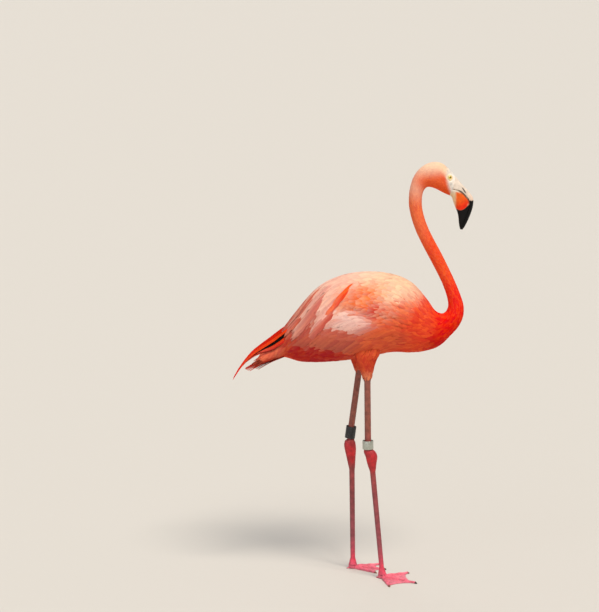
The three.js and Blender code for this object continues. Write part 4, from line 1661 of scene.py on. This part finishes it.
@dataclass
class Leg:
    """One leg: feathered thigh, bare shank, ankle and tarsus with plated scales, and the webbed foot."""

    side: str
    foot: tuple[float, float]
    toes: tuple[tuple[float, float], ...]  # outer, middle, inner: heading in degrees and length
    hallux: float
    plumage: Plumage
    finishes: Finishes
    hem: float  # where the thigh's feathers end
    top: float = 616.0
    columns: int = 40
    toe_height: tuple[float, float] = (10.6, 5.0)
    toe_width: tuple[float, float] = (6.0, 3.3)
    hind: tuple[float, float, float] = (15.0, 0.5, 4.0)  # length, scale, and the root's height
    web: float = 2.0  # how thick
    claw: float = 7.0  # how long
    grain: float = 0.95  # how fine the foot's parts are grown together

    def __post_init__(self) -> None:
        """Finds the leg's surface from its solids."""
        self.nodes = [f"{part}_{self.side}" for part in ("thigh", "shank", "ankle", "tarsus", "foot")]
        heights = np.concatenate([np.arange(self.top, 372, -3.0), np.arange(371, 290, -2.0), np.arange(288, 27, -3.0)])
        meshes = [node_mesh(name) for name in self.nodes]
        centres = fill_gaps(np.array([self.middle(meshes, z) for z in heights]))
        centres = smoothed(centres, 1.2, 0, False)
        outside = Outside(*self.nodes)
        angles = full_turn(self.columns)
        ways = np.stack([np.cos(angles), np.sin(angles), np.zeros(self.columns)], 1)
        radii = np.array(
            [
                [outside.distance(np.array([*c, z]), way, 70.0 if z > self.hem - 4 else 24.0) for way in ways]
                for c, z in zip(centres, heights)
            ]
        )
        depth = np.interp(heights, [self.hem - 2, self.hem + 6, self.top - 26, self.top], [0.5, 2.2, 5.0, 11.0])
        radii = smoothed(smoothed(fill_gaps(radii), 1.2, 0, False), 1.0, 1, True) - depth[:, None]
        rings = np.concatenate([centres, heights[:, None]], 1)[:, None] + radii[..., None] * ways
        lean = (centres[-1, 0] - self.foot[0]) / heights[-1]
        instep = [(21, 8.0), (15, 9.2), (9, 11.1), (4, 11.5), (0.6, 9.6)]
        lower = [
            np.array([self.foot[0] + lean * z, self.foot[1], z]) + r * ways * np.array([1.1, 1, 1]) for z, r in instep
        ]
        upper = [rings[0] + np.array([0.6 * k, -1.0 * k * SIDES[self.side], 8.0 * k]) for k in (5, 4, 3, 2, 1)]
        self.surface = Surface(np.concatenate([np.array(upper), rings, np.array(lower)]))

    @staticmethod
    def middle(meshes: Iterable[tuple[np.ndarray, np.ndarray]], z: float) -> tuple[float, float]:
        """The middle of the leg's section at one height, or nans in the gap between two solids.

        Args:
            meshes: the leg's solids.
            z: the height.
        Returns:
            The middle's x and y.
        """
        cuts = []
        for points, triangles in meshes:
            for i, j in ((0, 1), (1, 2), (2, 0)):
                a, b = points[triangles[:, i]], points[triangles[:, j]]
                crosses = (a[:, 2] - z) * (b[:, 2] - z) < 0
                a, b = a[crosses], b[crosses]
                cuts.append(a + (b - a) * ((z - a[:, 2]) / (b[:, 2] - a[:, 2]))[:, None])
        found = np.vstack(cuts)
        return tuple((found[:, :2].min(0) + found[:, :2].max(0)) / 2) if len(found) else (math.nan, math.nan)

    def toe(self, degrees: float, length: float, scale: float = 1.0, lift: float = 0.0) -> Surface:
        """A toe lying on the floor, padded under each joint, from its root to where its claw begins.

        Args:
            degrees: its heading.
            length: how long it is.
            scale: how thick, against the front toes.
            lift: how high its root is off the floor.
        Returns:
            Its surface.
        """
        heading = bearing(degrees)
        t = np.linspace(0, 1, 48)
        joints = 1 + 0.075 * np.cos(6 * math.pi * t) * (t > 0.1)
        high = scale * (self.toe_height[0] + (self.toe_height[1] - self.toe_height[0]) * t**0.7) * joints
        wide = scale * (self.toe_width[0] + (self.toe_width[1] - self.toe_width[0]) * t) * joints
        angles = full_turn(24)
        up = np.where(np.sin(angles) > 0, np.abs(np.sin(angles)) ** 0.85, 0.0)
        right = np.array([heading[1], -heading[0], 0])
        centre = np.array([*self.foot, 0.15]) + heading * (t * length)[:, None]
        centre[:, 2] += lift * (1 - t)
        bulge = np.where(np.sin(angles) < 0, 1 - 0.12 * np.abs(np.sin(angles)), 1.0)
        flat = centre[:, None] + right * (wide[:, None] * np.cos(angles) * bulge)[..., None]
        return Surface(flat + np.array([0, 0, 1.0]) * (high[:, None] * up)[..., None])

    def web_mesh(self, first: tuple[float, float], second: tuple[float, float]) -> Shell:
        """The web between two toes: thin skin in shallow folds, hollowed in a curve between their tips.

        Args:
            first: one toe's heading and length.
            second: the next toe's.
        Returns:
            The closed web.
        """
        rows, columns, under = 30, 26, 0.2
        root = np.array(self.foot)
        ends = [root + 0.97 * length * bearing(degrees)[:2] for degrees, length in (first, second)]
        hollow = (ends[0] + ends[1]) / 2 * 0.72 + root * 0.28
        s = np.linspace(0, 1, columns)[:, None]
        edge = (1 - s) ** 2 * ends[0] + 2 * s * (1 - s) * hollow + s**2 * ends[1]
        t = np.linspace(0.05, 1, rows)
        flat = root + (edge[None] - root) * t[:, None, None]
        folds = 0.35 * np.sin(np.linspace(0, 5 * math.pi, columns))[None, :] * t[:, None]
        ripple = 0.3 * np.sin(t * 34)[:, None] * np.sin(np.linspace(0, math.pi, columns))[None, :]
        sheets = (self.web + under + folds + ripple, np.full(folds.shape, under))
        points = np.vstack([np.dstack([flat, height]).reshape(-1, 3) for height in sheets])
        shift = rows * columns
        faces: list[tuple[int, ...]] = []
        for i in range(rows - 1):
            for j in range(columns - 1):
                a, b = i * columns + j, (i + 1) * columns + j
                faces += [(a, b, b + 1, a + 1), (shift + a, shift + a + 1, shift + b + 1, shift + b)]
        rim = [i * columns for i in range(rows)] + [(rows - 1) * columns + j for j in range(1, columns)]
        rim += [i * columns + columns - 1 for i in range(rows - 2, -1, -1)] + list(range(columns - 2, 0, -1))
        faces += [(b, a, shift + a, shift + b) for a, b in zip(rim, rim[1:] + rim[:1])]
        return points, faces

    def toe_surfaces(self) -> list[Surface]:
        """Its four toes."""
        length, scale, lift = self.hind
        return [self.toe(*toe) for toe in self.toes] + [self.toe(self.hallux, length, scale, lift)]

    def foot_skin(self) -> Object:
        """The foot as one closed skin: instep, toes and webs grown together.

        Returns:
            A helper object.
        """
        instep = Surface(self.surface.points[-8:])
        shells = [part.closed() for part in [instep, *self.toe_surfaces()]]
        shells += [self.web_mesh(*pair) for pair in zip(self.toes, self.toes[1:])]
        foot = make_piece(f"foot_{self.side}_skin", merged(shells))
        grown = foot.modifiers.new("grown_together", "REMESH")
        grown.mode = "VOXEL"
        grown.voxel_size = self.grain * MM
        soft = foot.modifiers.new("soft", "SMOOTH")
        soft.factor = 0.5
        soft.iterations = 2
        return plain(foot, f"foot_{self.side}_skin")

    def leg_skin(self) -> Object:
        """The leg down to the instep as one closed skin."""
        return make_piece(f"leg_{self.side}_skin", Surface(self.surface.points[:-2]).closed())

    def thigh_feathers(self) -> list[Object]:
        """The flank's plumes that hang over the thigh, and its short hairy feathers that end over the bare shank.

        Returns:
            The pieces, dressed.
        """
        made = []
        for name, low, high, blade, spacing, long, wide in (
            ("thigh_feathers", self.hem - 1, 612.0, NECK_TUFT, 3.8, (14, 24), (4.4, 7.0)),
            ("thigh_plumes", 590.0, 650.0, LOOSE_TUFT, 4.4, (28, 44), (7.5, 8.5)),
        ):
            z = self.surface.points[..., 2]
            u, v = self.plumage.spread(self.surface, ramp(low, low + 6, z) * ramp(high, high - 8, z), spacing, 51)
            spots = self.surface.spots(u, v)
            way = np.tile([-0.22, 0.0, -1.0], (len(u), 1))
            f = np.clip((spots[:, 2] - low) / (high - low), 0, 1)
            own = np.ones(len(u))
            length, width = (a + (b - a) * f for a, b in (long, wide))
            base, lift = (own * 0.1, 2.2 + 2.5 * f) if blade is NECK_TUFT else (own * 0.5, 3.2 + 1.0 * f)
            roots = Roots(u, v, way, length, width, lift, base, own * 0.1, loose=9.0)
            blades = self.plumage.blades(blade)
            piece = self.plumage.lay(f"{name}_{self.side}", self.surface, roots, blades, self.finishes.coverts, 51)
            made.append(dress(piece, None, "plumage_coral"))
        return made

    def scales(self) -> list[Object]:
        """The leg's plates: broad ones down its front and back and over the toes, small ones between.

        Returns:
            The pieces, dressed.
        """
        flat = {"widest": 0.5, "root": 0.8, "point": 0.28, "slant": 0.0, "ragged": 0.0, "splits": 0, "arch": 0.55}
        plates = self.plumage.blades(Vane("leg_plate", rows=5, columns=5, **flat), 1)
        z = self.surface.points[..., 2].mean(1)
        columns = [(0.0, 6.4, 10.5), (0.5, 6.4, 9.5)]  # which way each faces, its step and its plates' width
        columns += [(facing, 3.6, 4.4) for facing in (0.17, 0.25, 0.33, 0.67, 0.75, 0.83)]
        rows = []
        for facing, step, width in columns:
            heights = np.arange(self.hem - 3, 16, -step) - (step / 2 if facing in (0.25, 0.75) else 0)
            swell = np.interp(heights, [280, 320, 345, 365], [1, 1.35, 1.35, 1.0])
            own = np.ones(len(heights))
            rows.append([np.interp(-heights, -z, self.surface.us), facing * own, step * 1.12 * own, width * swell])
        u, v, long, wide = (np.concatenate(values) for values in zip(*rows))
        down = np.tile([0.0, 0.0, -1.0], (len(u), 1))
        made = [self.plates("leg_scales", self.surface, (u, v, down, long, wide), (0.34, 0.05), plates, 61)]
        for name, toe, count in zip((*TOES, "hind"), self.toe_surfaces(), (19, 22, 19, 5)):
            u = np.tile((np.arange(count) + 0.9) / (count + 0.6), 3)
            v = np.repeat([0.25, 0.13, 0.37], count)
            ahead = np.tile(toe.points[-1].mean(0) - toe.points[0].mean(0), (len(u), 1))
            size = np.interp(u, [0, 1], [1.0, 0.6]) * (0.5 if name == "hind" else 1)
            wide = np.where(v == 0.25, 6.6, 4.2) * size
            grid = (u, v, ahead, 4.6 * np.ones(len(u)), wide)
            made.append(self.plates(f"toe_scales_{name}", toe, grid, (0.5, 0.02), plates, 62))
        return [dress(piece, None, "leg_skin") for piece in made]

    def plates(
        self,
        name: str,
        surface: Surface,
        grid: tuple[np.ndarray, ...],
        heights: tuple[float, float],
        plates: Collection,
        seed: int,
    ) -> Object:
        """Plates over a surface as one piece.

        Args:
            grid: the plates' u, v, headings, lengths and widths.
            heights: how high a plate's tip stands over its root, and its root over the skin.
            plates: the blades to pick from.
        Returns:
            The piece, in the leg's own colours.
        """
        own = np.ones(len(grid[0]))
        tint = leg_colour(surface.spots(*grid[:2]))
        roots = Roots(*grid, own * heights[0], own * heights[1], own * 0, tint)
        return self.plumage.lay(f"{name}_{self.side}", surface, roots, plates, self.finishes.scales, seed)

    def claws(self) -> Object:
        """The foot's four short blunt claws.

        Returns:
            The piece, dressed.
        """
        shells: list[Shell] = []
        length, scale, _ = self.hind
        for degrees, reach, size in [*((*toe, 1.0) for toe in self.toes), (self.hallux, length, scale)]:
            heading = bearing(degrees)
            right = np.array([heading[1], -heading[0], 0])
            t = np.linspace(-0.25, 1, 16)
            girth = size * np.sqrt(np.clip(1 - 0.95 * np.clip(t, 0, 1) ** 2, 0.02, 1)) * ramp(-0.35, 0.05, t) ** 0.3
            angles = full_turn(18)
            up = np.where(np.sin(angles) > 0, np.abs(np.sin(angles)) ** 0.8 * (1 + 0.12 * np.sin(angles) ** 6), 0.04)
            centre = np.array([*self.foot, 0.1]) + heading * (reach + self.claw * size * t)[:, None]
            rings = centre[:, None] + right * (3.0 * girth[:, None] * np.cos(angles))[..., None]
            rings = rings + np.array([0, 0, 1.0]) * (4.5 * girth[:, None] * up)[..., None]
            shells.append(Surface(rings).closed())
        piece = make_piece(f"claws_{self.side}", merged(shells))
        spots = own_points(piece)
        reach = np.hypot(*(spots[:, :2] - np.array(self.foot)).T)
        far = ramp(0, 9, reach - np.interp(reach, [0, 40, 120], [15, 76, 90]))
        put(piece.data, "tint", blend(linear("#8a5c50"), "#2c211e", far), "FLOAT_COLOR")
        nodes = [f"claw_{self.side}_{toe}" for toe in (*TOES, "hind")]
        return dress(piece, self.finishes.claw, "claw_horn", *nodes)


# ---- head: bill and eyes


@dataclass
class Bill:
    """The bent bill: two mandibles that meet along the line of the mouth, pale at the face and black at the tip."""

    finish: Material
    culmen: tuple[tuple[float, float], ...] = (
        (219, 1082), (238, 1060), (254, 1043), (266, 1025), (267, 1009), (263, 990), (255, 969), (246, 950), (239, 940),
    )
    keel: tuple[tuple[float, float], ...] = (
        (208, 1030), (211, 1024), (215, 1012), (220, 999), (225, 987), (228, 973), (229, 961), (231, 949),
        (233.5, 940.5),
    )
    upper_width: tuple[float, ...] = (16, 12, 9.5, 9, 9, 8.5, 7.5, 5.5, 2.2)
    lower_width: tuple[float, ...] = (16, 15.5, 15.5, 15, 13.5, 11.5, 9.5, 6.5, 2.2)
    rings: int = 170
    columns: int = 72
    gap: float = 0.22

    def mandible(self, edge: Sequence[tuple[float, float]], widths: Sequence[float], upper: bool) -> Surface:
        """One mandible, from inside the face to its tip.

        Args:
            edge: the culmen or the keel, by x and z.
            widths: half its width at each row of MOUTH.
            upper: which of the two it is.
        Returns:
            Its surface.
        """
        at = np.linspace(-0.25, len(MOUTH) - 1.02, self.rings)
        tables = (MOUTH[:, :2], edge, np.reshape(widths, (-1, 1)))
        mouth, far, half = (along_rows(np.array(table, float), np.clip(at, 0, None)) for table in tables)
        back = np.clip(-at, 0, None)[:, None] * np.array([-18.0, 4.0])  # the part that is hidden in the face
        mouth, far = mouth + back, far + back * np.array([1, 1.2])
        up = far - mouth
        high = np.linalg.norm(up, axis=1) - self.gap
        up = unit(up)
        a = full_turn(self.columns)
        outer = np.sin(a) > 0 if upper else np.sin(-a) < 0
        rise = np.abs(np.sin(a))
        across = np.cos(a)[None, :] * half
        lift = high[:, None] * np.where(outer, rise**0.82, 0.0)[None, :]
        lift = lift + np.where(outer, 0.0, rise)[None, :] * np.minimum(high * 0.12, 1.0)[:, None]  # the palate's arch
        if upper:
            # a groove along each side, from the nostril to the bend
            groove = (np.exp(-(((np.abs(np.cos(a)) - 0.62) / 0.09) ** 2)) * outer)[None, :]
            fading = ramp(4.6, 3.2, at)[:, None]
            lift = lift - 0.5 * groove * fading
            across = across * (1 - 0.06 * groove * fading)
        else:
            across = across * (1 - 0.05 * np.exp(-((rise - 0.42) ** 2) / 0.02) * outer)[None, :]
        tip = np.sqrt(np.clip(1 - np.clip((at - 7.2) / 0.9, 0, 1) ** 2, 0.03, 1))[:, None]  # rounded off
        way = in_plane(up)
        start = in_plane(mouth) + way * self.gap
        rings = start[:, None] + way[:, None] * lift[..., None]
        rings[..., 1] = across * tip
        return Surface(rings)

    @staticmethod
    def colours(points: np.ndarray, upper: bool) -> np.ndarray:
        """The horn's linear colour at each point, with painted shade along the line of the mouth.

        Args:
            points: points in the bird's millimetres.
            upper: which mandible they are on.
        Returns:
            The colour at each.
        """
        x, z = points[:, 0], points[:, 2]
        fine = np.sin(points[:, 1] * 1.7 + x * 0.9) * 0.8
        line = along_rows(MOUTH[:, :2], np.linspace(0, len(MOUTH) - 1, 200))
        gap = np.min(np.hypot(x[:, None] - line[None, :, 0], z[:, None] - line[None, :, 1]), axis=1)
        colour = linear("#e2d3c4") * np.ones((len(points), 1))
        if upper:
            colour = blend(colour, "#e8bfa6", ramp(1050, 1018, z) * 0.5)
            black = ramp(1020, 1017, z + fine)
        else:
            colour = blend(colour, "#e6c088", ramp(1048, 1034, z) * 0.75)
            under = z - 993 - 0.035 * (x - 232) ** 2
            patch = ramp(216.0, 223.5, x) * ramp(3.2, 4.6, gap) * ramp(-0.6, 1.2, under) * ramp(253, 251, x)
            black = ramp(2, -2, z + fine - (996 + 0.36 * (x - 221))) * (1 - patch)
            deep = ramp(-12, 14, (x - 238) * 0.5 - (z - 1016) * 0.8)
            colour = blend(colour, blend(linear("#f2641c"), "#ee2c08", deep), patch)
        # painted shade in the slit between the mandibles: a dark line along the mouth
        mouth_shade = ramp(1.7, 0.8, gap) * ramp(222, 232, x) * 0.9  # the dark line of the mouth
        return blend(blend(colour, "#1d1614", mouth_shade), "#060708", black)

    @staticmethod
    def nostril(surface: Surface) -> np.ndarray:
        """Sinks the nostril's slit in both sides of the upper mandible, and gives how deep each point is in it.

        Args:
            surface: the upper mandible, which is changed.
        Returns:
            The depth from 0 to 1.
        """
        x, z = surface.points[..., 0], surface.points[..., 2]
        along = np.array([250 - 237, 1034 - 1054]) / math.hypot(13, 20)
        a = (x - 241.5) * along[0] + (z - 1045.5) * along[1]
        b = (z - 1045.5) * along[0] - (x - 241.5) * along[1]
        dip = np.exp(-((a / 9.0) ** 4) - ((b / 1.5) ** 2))  # a slit 18 mm long and 3 mm wide
        surface.points[..., 1] -= 2.4 * dip * np.sign(surface.points[..., 1])
        return dip

    def build(self) -> list[Object]:
        """Both mandibles.

        Returns:
            The pieces, dressed.
        """
        made = []
        for upper, edge, widths in ((True, self.culmen, self.upper_width), (False, self.keel, self.lower_width)):
            surface = self.mandible(edge, widths, upper)
            dip = self.nostril(surface) if upper else np.zeros(surface.points.shape[:2])
            name, slot = ("bill_upper", "bill_pale_horn") if upper else ("bill_lower", "bill_black_horn")
            points, faces = surface.closed()
            # painted shade inside the nostril's slit, darker where it sinks deeper
            dark = np.append(np.clip(dip.ravel() * 1.3, 0, 0.95), [0, 0])
            piece = make_piece(f"{name}_horn", (points, faces))
            put(piece.data, "tint", blend(self.colours(points, upper), "#3a2a26", dark), "FLOAT_COLOR")
            made.append(dress(piece, self.finish, slot, name))
        return made


@dataclass
class Eye:
    """One eye: a yellow iris round a black pupil, under a clear bulge, in a ring of wrinkled lid."""

    side: str
    finish: Material
    iris: float = 4.9
    pupil: float = 2.1
    cornea: float = 0.7
    opening: float = 4.7
    rim: float = 8.6
    sink: float = 2.2  # how far the eyeball sits behind its solid
    forward: float = 0.4  # the slope that its axis has to the front
    upward: float = 0.25

    def lathe(
        self, profile: Sequence[tuple[float, float]], columns: int, wrinkle: float = 0.0, close: bool = False
    ) -> Shell:
        """A form turned about the eye's axis.

        Args:
            profile: radius and height out of the head of each ring.
            wrinkle: how deep its radial folds are.
            close: whether the profile is a loop; otherwise its ends close on the axis.
        Returns:
            The closed shell.
        """
        side = SIDES[self.side]
        out = unit(np.array([self.forward, side, self.upward]))
        ahead = unit(np.array([1.0, 0.0, 0.0]) - out * out[0])
        up = np.cross(ahead, out) * side
        centre = np.array([EYE_X, side * EYE_Y, EYE_Z])
        a = full_turn(columns)
        rings = []
        for r, h in profile:
            folds = wrinkle * np.sin(a * 17 + r) * ramp(self.opening, self.opening + 1, np.array([r]))
            x = r * np.cos(a) * (1.08 if close else 1.0)
            z = r * np.sin(a) * (0.92 if close else 1.0)
            rings.append(centre + x[:, None] * ahead + z[:, None] * up + (h + folds - self.sink)[:, None] * out)
        count = len(rings)
        points = np.vstack(rings)
        faces: list[tuple[int, ...]] = []
        for i in range(count if close else count - 1):
            for j in range(columns):
                a0, b0 = i * columns, (i + 1) % count * columns
                k = (j + 1) % columns
                faces.append((a0 + j, b0 + j, b0 + k, a0 + k))
        if not close:
            faces += [tuple(range(columns)), tuple(range(count * columns - 1, (count - 1) * columns - 1, -1))]
        if side < 0:
            faces = [face[::-1] for face in faces]
        return points, faces

    def ball(self) -> Object:
        """The eyeball.

        Returns:
            The piece, dressed.
        """
        radius = EYE_RADIUS - 0.12
        turns = np.linspace(0.02, math.pi - 0.02, 56)
        r, h = radius * np.sin(turns), radius * np.cos(turns)
        h = h + np.where(h > 0, self.cornea * np.clip(1 - (r / self.iris) ** 2, 0, 1), 0) - self.cornea * 0.9
        columns = 64
        piece = make_piece(f"eyeball_{self.side}", self.lathe(list(zip(r, h)), columns))
        reach = np.repeat(r, columns)
        iris = linear("#e9c94e") * (1 - 0.35 * ramp(3.2, self.iris, reach)[:, None])
        colour = blend(iris, "#33241a", ramp(self.iris - 0.5, self.iris, reach))
        colour = blend(colour, "#050505", ramp(self.pupil + 0.25, self.pupil - 0.1, reach))
        front = np.repeat(h > 0, columns)[:, None]
        put(piece.data, "tint", np.where(front, colour, linear("#8a7f76")), "FLOAT_COLOR")
        return dress(piece, self.finish, "eye", f"eye_{self.side}")

    def lids(self) -> Object:
        """The ring of lid, to be grown into the head's skin.

        Returns:
            A helper object.
        """
        top = math.sqrt(EYE_RADIUS**2 - self.opening**2)
        inner = ((0, -2.6), (-0.1, 0.1), (0.35, 0.75), (0.95, 0.55), (1.5, 0.15), (2.1, 0.35), (2.8, -0.2))
        outer = ((0, -1.4), (1.7, -3.8), (3.2, -7.6), (-1.6, -9.0))
        profile = [(start + r, top + h) for start, rows in ((self.opening, inner), (self.rim, outer)) for r, h in rows]
        points, faces = self.lathe(profile, 72, 0.1, True)
        return make_piece(f"lids_{self.side}", (points, [face[::-1] for face in faces]))

    def socket(self) -> Object:
        """The space that the eyeball fills.

        Returns:
            A helper object.
        """
        turns = np.linspace(0.03, math.pi - 0.03, 28)
        radius = EYE_RADIUS + 0.02
        profile = list(zip(radius * np.sin(turns), radius * np.cos(turns)))
        return make_piece(f"socket_{self.side}", self.lathe(profile, 48))


# ---- skin


def bake_boolean(target: Object, others: Sequence[Object], operation: str) -> Object:
    """Joins closed shells to a closed shell, or cuts them from it, and removes them.

    Args:
        target: the shell to work on.
        others: the shells to join or cut.
        operation: UNION or DIFFERENCE.
    Returns:
        The worked shell.
    """
    for other in others:
        cut = target.modifiers.new(other.name, "BOOLEAN")
        cut.object = other
        cut.operation = operation
        cut.solver = "MANIFOLD"
    made = plain(target, target.name)
    for other in others:
        bpy.data.objects.remove(other)
    return made


def grow_skin(body: Body, legs: Sequence[Leg], eyes: Sequence[Eye], finishes: Finishes) -> Object:
    """One closed skin for the whole bird, with lids round open sockets, coloured as the coat over it.

    Args:
        body: the body.
        legs: both legs.
        eyes: both eyes.
        finishes: the materials.
    Returns:
        The piece, dressed.
    """
    trunk = make_piece("skin", body.surface.closed())
    shells = [leg.leg_skin() for leg in legs] + [leg.foot_skin() for leg in legs] + [eye.lids() for eye in eyes]
    skin = bake_boolean(trunk, shells, "UNION")
    skin = bake_boolean(skin, [eye.socket() for eye in eyes], "DIFFERENCE")
    skin.name = "skin"
    spots = own_points(skin)
    bare = ramp(560, 546, spots[:, 2])  # under the thighs' feathers
    lid = ramp(9.5, 7.5, np.hypot(spots[:, 0] - EYE_X, spots[:, 2] - EYE_Z))
    colour = blend(blend(plumage_colour_and_light(spots), "#f0dcae", lid), leg_colour(spots), bare)
    put(skin.data, "tint", colour, "FLOAT_COLOR")
    put(skin.data, "net", 0.12 + 0.88 * bare, "FLOAT")
    skin.data.shade_smooth()
    nodes = ["head", "neck_lower", "neck_middle", "neck_upper", "trunk"]
    nodes += [node for leg in legs for node in leg.nodes]
    return dress(skin, finishes.skin, "leg_skin", *nodes)


# ---- leg bands


class BandKind(Enum):
    """How a leg band is made."""

    WRAPPED = "a plastic strip wrapped more than once round the leg"
    BUTTED = "a metal strip bent until its ends meet"


@dataclass
class LegBand:
    """A band round the shank, in the place of its node."""

    node: str
    kind: BandKind
    slot: str
    finish: Material
    wall: float = 1.3
    rounding: float = 0.35

    def build(self) -> Object:
        """The band.

        Returns:
            The piece, dressed.
        """
        points, _ = node_mesh(self.node)
        centre = (points.min(0) + points.max(0)) / 2
        above = points[:, 2] > centre[2]
        axis = points[above].mean(0) - points[~above].mean(0)
        high = np.linalg.norm(axis)
        axis = unit(axis)
        radius = np.linalg.norm(np.cross(points - centre, axis), axis=1).max()
        ahead = unit(np.cross(np.array([0.0, 1.0, 0.0]), axis))
        left = np.cross(axis, ahead)
        wrapped = self.kind is BandKind.WRAPPED
        turns = (0.0, 1.22) if wrapped else (0.008, 0.992)
        t = np.linspace(*turns, 120 if wrapped else 96)
        wall = self.wall * (0.5 if wrapped else 1.0)
        outer = radius - (0.62 * self.wall * (1 - ramp(0.9, 1.1, t)) if wrapped else 0.05 * t)
        corners = (  # of the strip's section, each with the steps to where its rounding starts and ends
            ((0, -high / 2), (-1, 0), (0, 1)),
            ((0, high / 2), (0, -1), (-1, 0)),
            ((-wall, high / 2), (1, 0), (0, -1)),
            ((-wall, -high / 2), (0, 1), (1, 0)),
        )
        loop = []
        for corner in corners:
            base, first, last = np.array(corner, float)
            loop += [base + self.rounding * step for step in (first, 0.3 * (first + last), last)]
        loop = np.array(loop)
        angle = 2 * math.pi * t + 0.6
        way = np.cos(angle)[:, None] * ahead + np.sin(angle)[:, None] * left
        rings = centre + way[:, None] * (outer[:, None] + loop[:, 0])[..., None] + axis * loop[:, 1][None, :, None]
        piece = make_piece(f"{self.node}_strip", self.strip(rings))
        piece.data.set_sharp_from_angle(angle=math.radians(50))
        return dress(piece, self.finish, self.slot, self.node)

    @staticmethod
    def strip(rings: np.ndarray) -> Shell:
        """A bar through rings of points, closed at both ends.

        Args:
            rings: rows, columns and x, y, z.
        Returns:
            The closed bar.
        """
        rows, columns = rings.shape[:2]
        faces = [tuple(range(columns))[::-1], tuple(range((rows - 1) * columns, rows * columns))]
        for i in range(rows - 1):
            for j in range(columns):
                a, b, k = i * columns, (i + 1) * columns, (j + 1) % columns
                faces.append((a + j, a + k, b + k, b + j))
        return rings.reshape(-1, 3), faces


# ---- studio


@dataclass(frozen=True)
class Lamp:
    """A big soft light a long way off."""

    name: str
    way: tuple[float, float, float]  # where it stands, seen from the bird
    spread: float  # how wide it looks from the bird, in degrees
    power: float
    colour: str = "#ffffff"

    def build(self) -> None:
        """Puts the lamp in the scene."""
        light = bpy.data.lights.new(self.name, "SUN")
        light.angle = math.radians(self.spread)
        light.energy = self.power
        light.color = linear(self.colour)
        lamp = show(self.name, light)
        lamp.location = self.way
        lamp.rotation_euler = (-lamp.location).to_track_quat("-Z", "Y").to_euler()


@dataclass(frozen=True)
class Studio:
    """A plain pale floor, soft light from high on the right, and the camera on the bird's right side."""

    camera: tuple[float, float, float] = (-193.8, -5400.0, 1590.0)  # in the bird's millimetres
    pitch: float = 81.0
    lens: float = 120.3
    floor: str = "#cbc8c2"
    lamps: tuple[Lamp, ...] = (
        Lamp("key", (1.2, -1.9, 3.6), 26, 2.7, "#fff5e8"),
        Lamp("fill", (-2.6, -3.4, 1.9), 60, 0.55, "#f4f6ff"),
        Lamp("rim", (-0.8, 2.8, 2.6), 40, 0.5),
    )

    def build(self) -> None:
        """Sets the stage."""
        scene = bpy.context.scene
        corners = 400.0 * np.array([(-1, -1, 0), (1, -1, 0), (1, 1, 0), (-1, 1, 0)])  # metres
        floor = make_object("floor", corners, [(0, 1, 2, 3)])
        floor.data.materials.append(Paint("matt_floor_paint", self.floor).make())
        for lamp in self.lamps:
            lamp.build()
        world = bpy.data.worlds.new("studio")
        world.use_nodes = True
        fill(world.node_tree.nodes["Background"], {"Color": rgba("#eeeeee"), "Strength": 0.5})
        scene.world = world
        camera = show("camera", bpy.data.cameras.new("camera"))
        camera.data.lens = self.lens
        camera.data.clip_end = 1200  # metres: past the floor's far edge
        camera.location = PLACE.metres(self.camera)
        camera.rotation_euler = (math.radians(self.pitch), 0, 0)
        scene.camera = camera
        scene.view_settings.view_transform = "Standard"


def main() -> None:
    """Builds the bird and its studio."""
    logging.basicConfig(level=logging.INFO, format="%(message)s")
    Studio().build()
    finishes = Finishes()
    plumage = Plumage()
    body = Body(plumage, finishes)
    legs = [
        Leg("right", (31, -58), ((-80, 80), (-31, 98), (31, 80)), 168, plumage, finishes, hem=553),
        Leg("left", (-47, 38), ((22, 76), (-11, 86), (-40, 76)), 196, plumage, finishes, hem=560),
    ]
    eyes = [Eye(side, finishes.eye) for side in SIDES]
    grow_skin(body, legs, eyes, finishes)
    body.build()
    Tail(finishes.quills).build()
    for side in SIDES:
        WingTip(side, finishes.quills).build()
    for leg in legs:
        leg.thigh_feathers()
        leg.scales()
        leg.claws()
    for eye in eyes:
        eye.ball()
    Bill(finishes.horn).build()
    LegBand("band_right", BandKind.BUTTED, "band_grey_metal", finishes.metal).build()
    LegBand("band_left", BandKind.WRAPPED, "band_black_plastic", finishes.plastic).build()
    plumage.put_away()


if __name__ == "__main__":
    main()
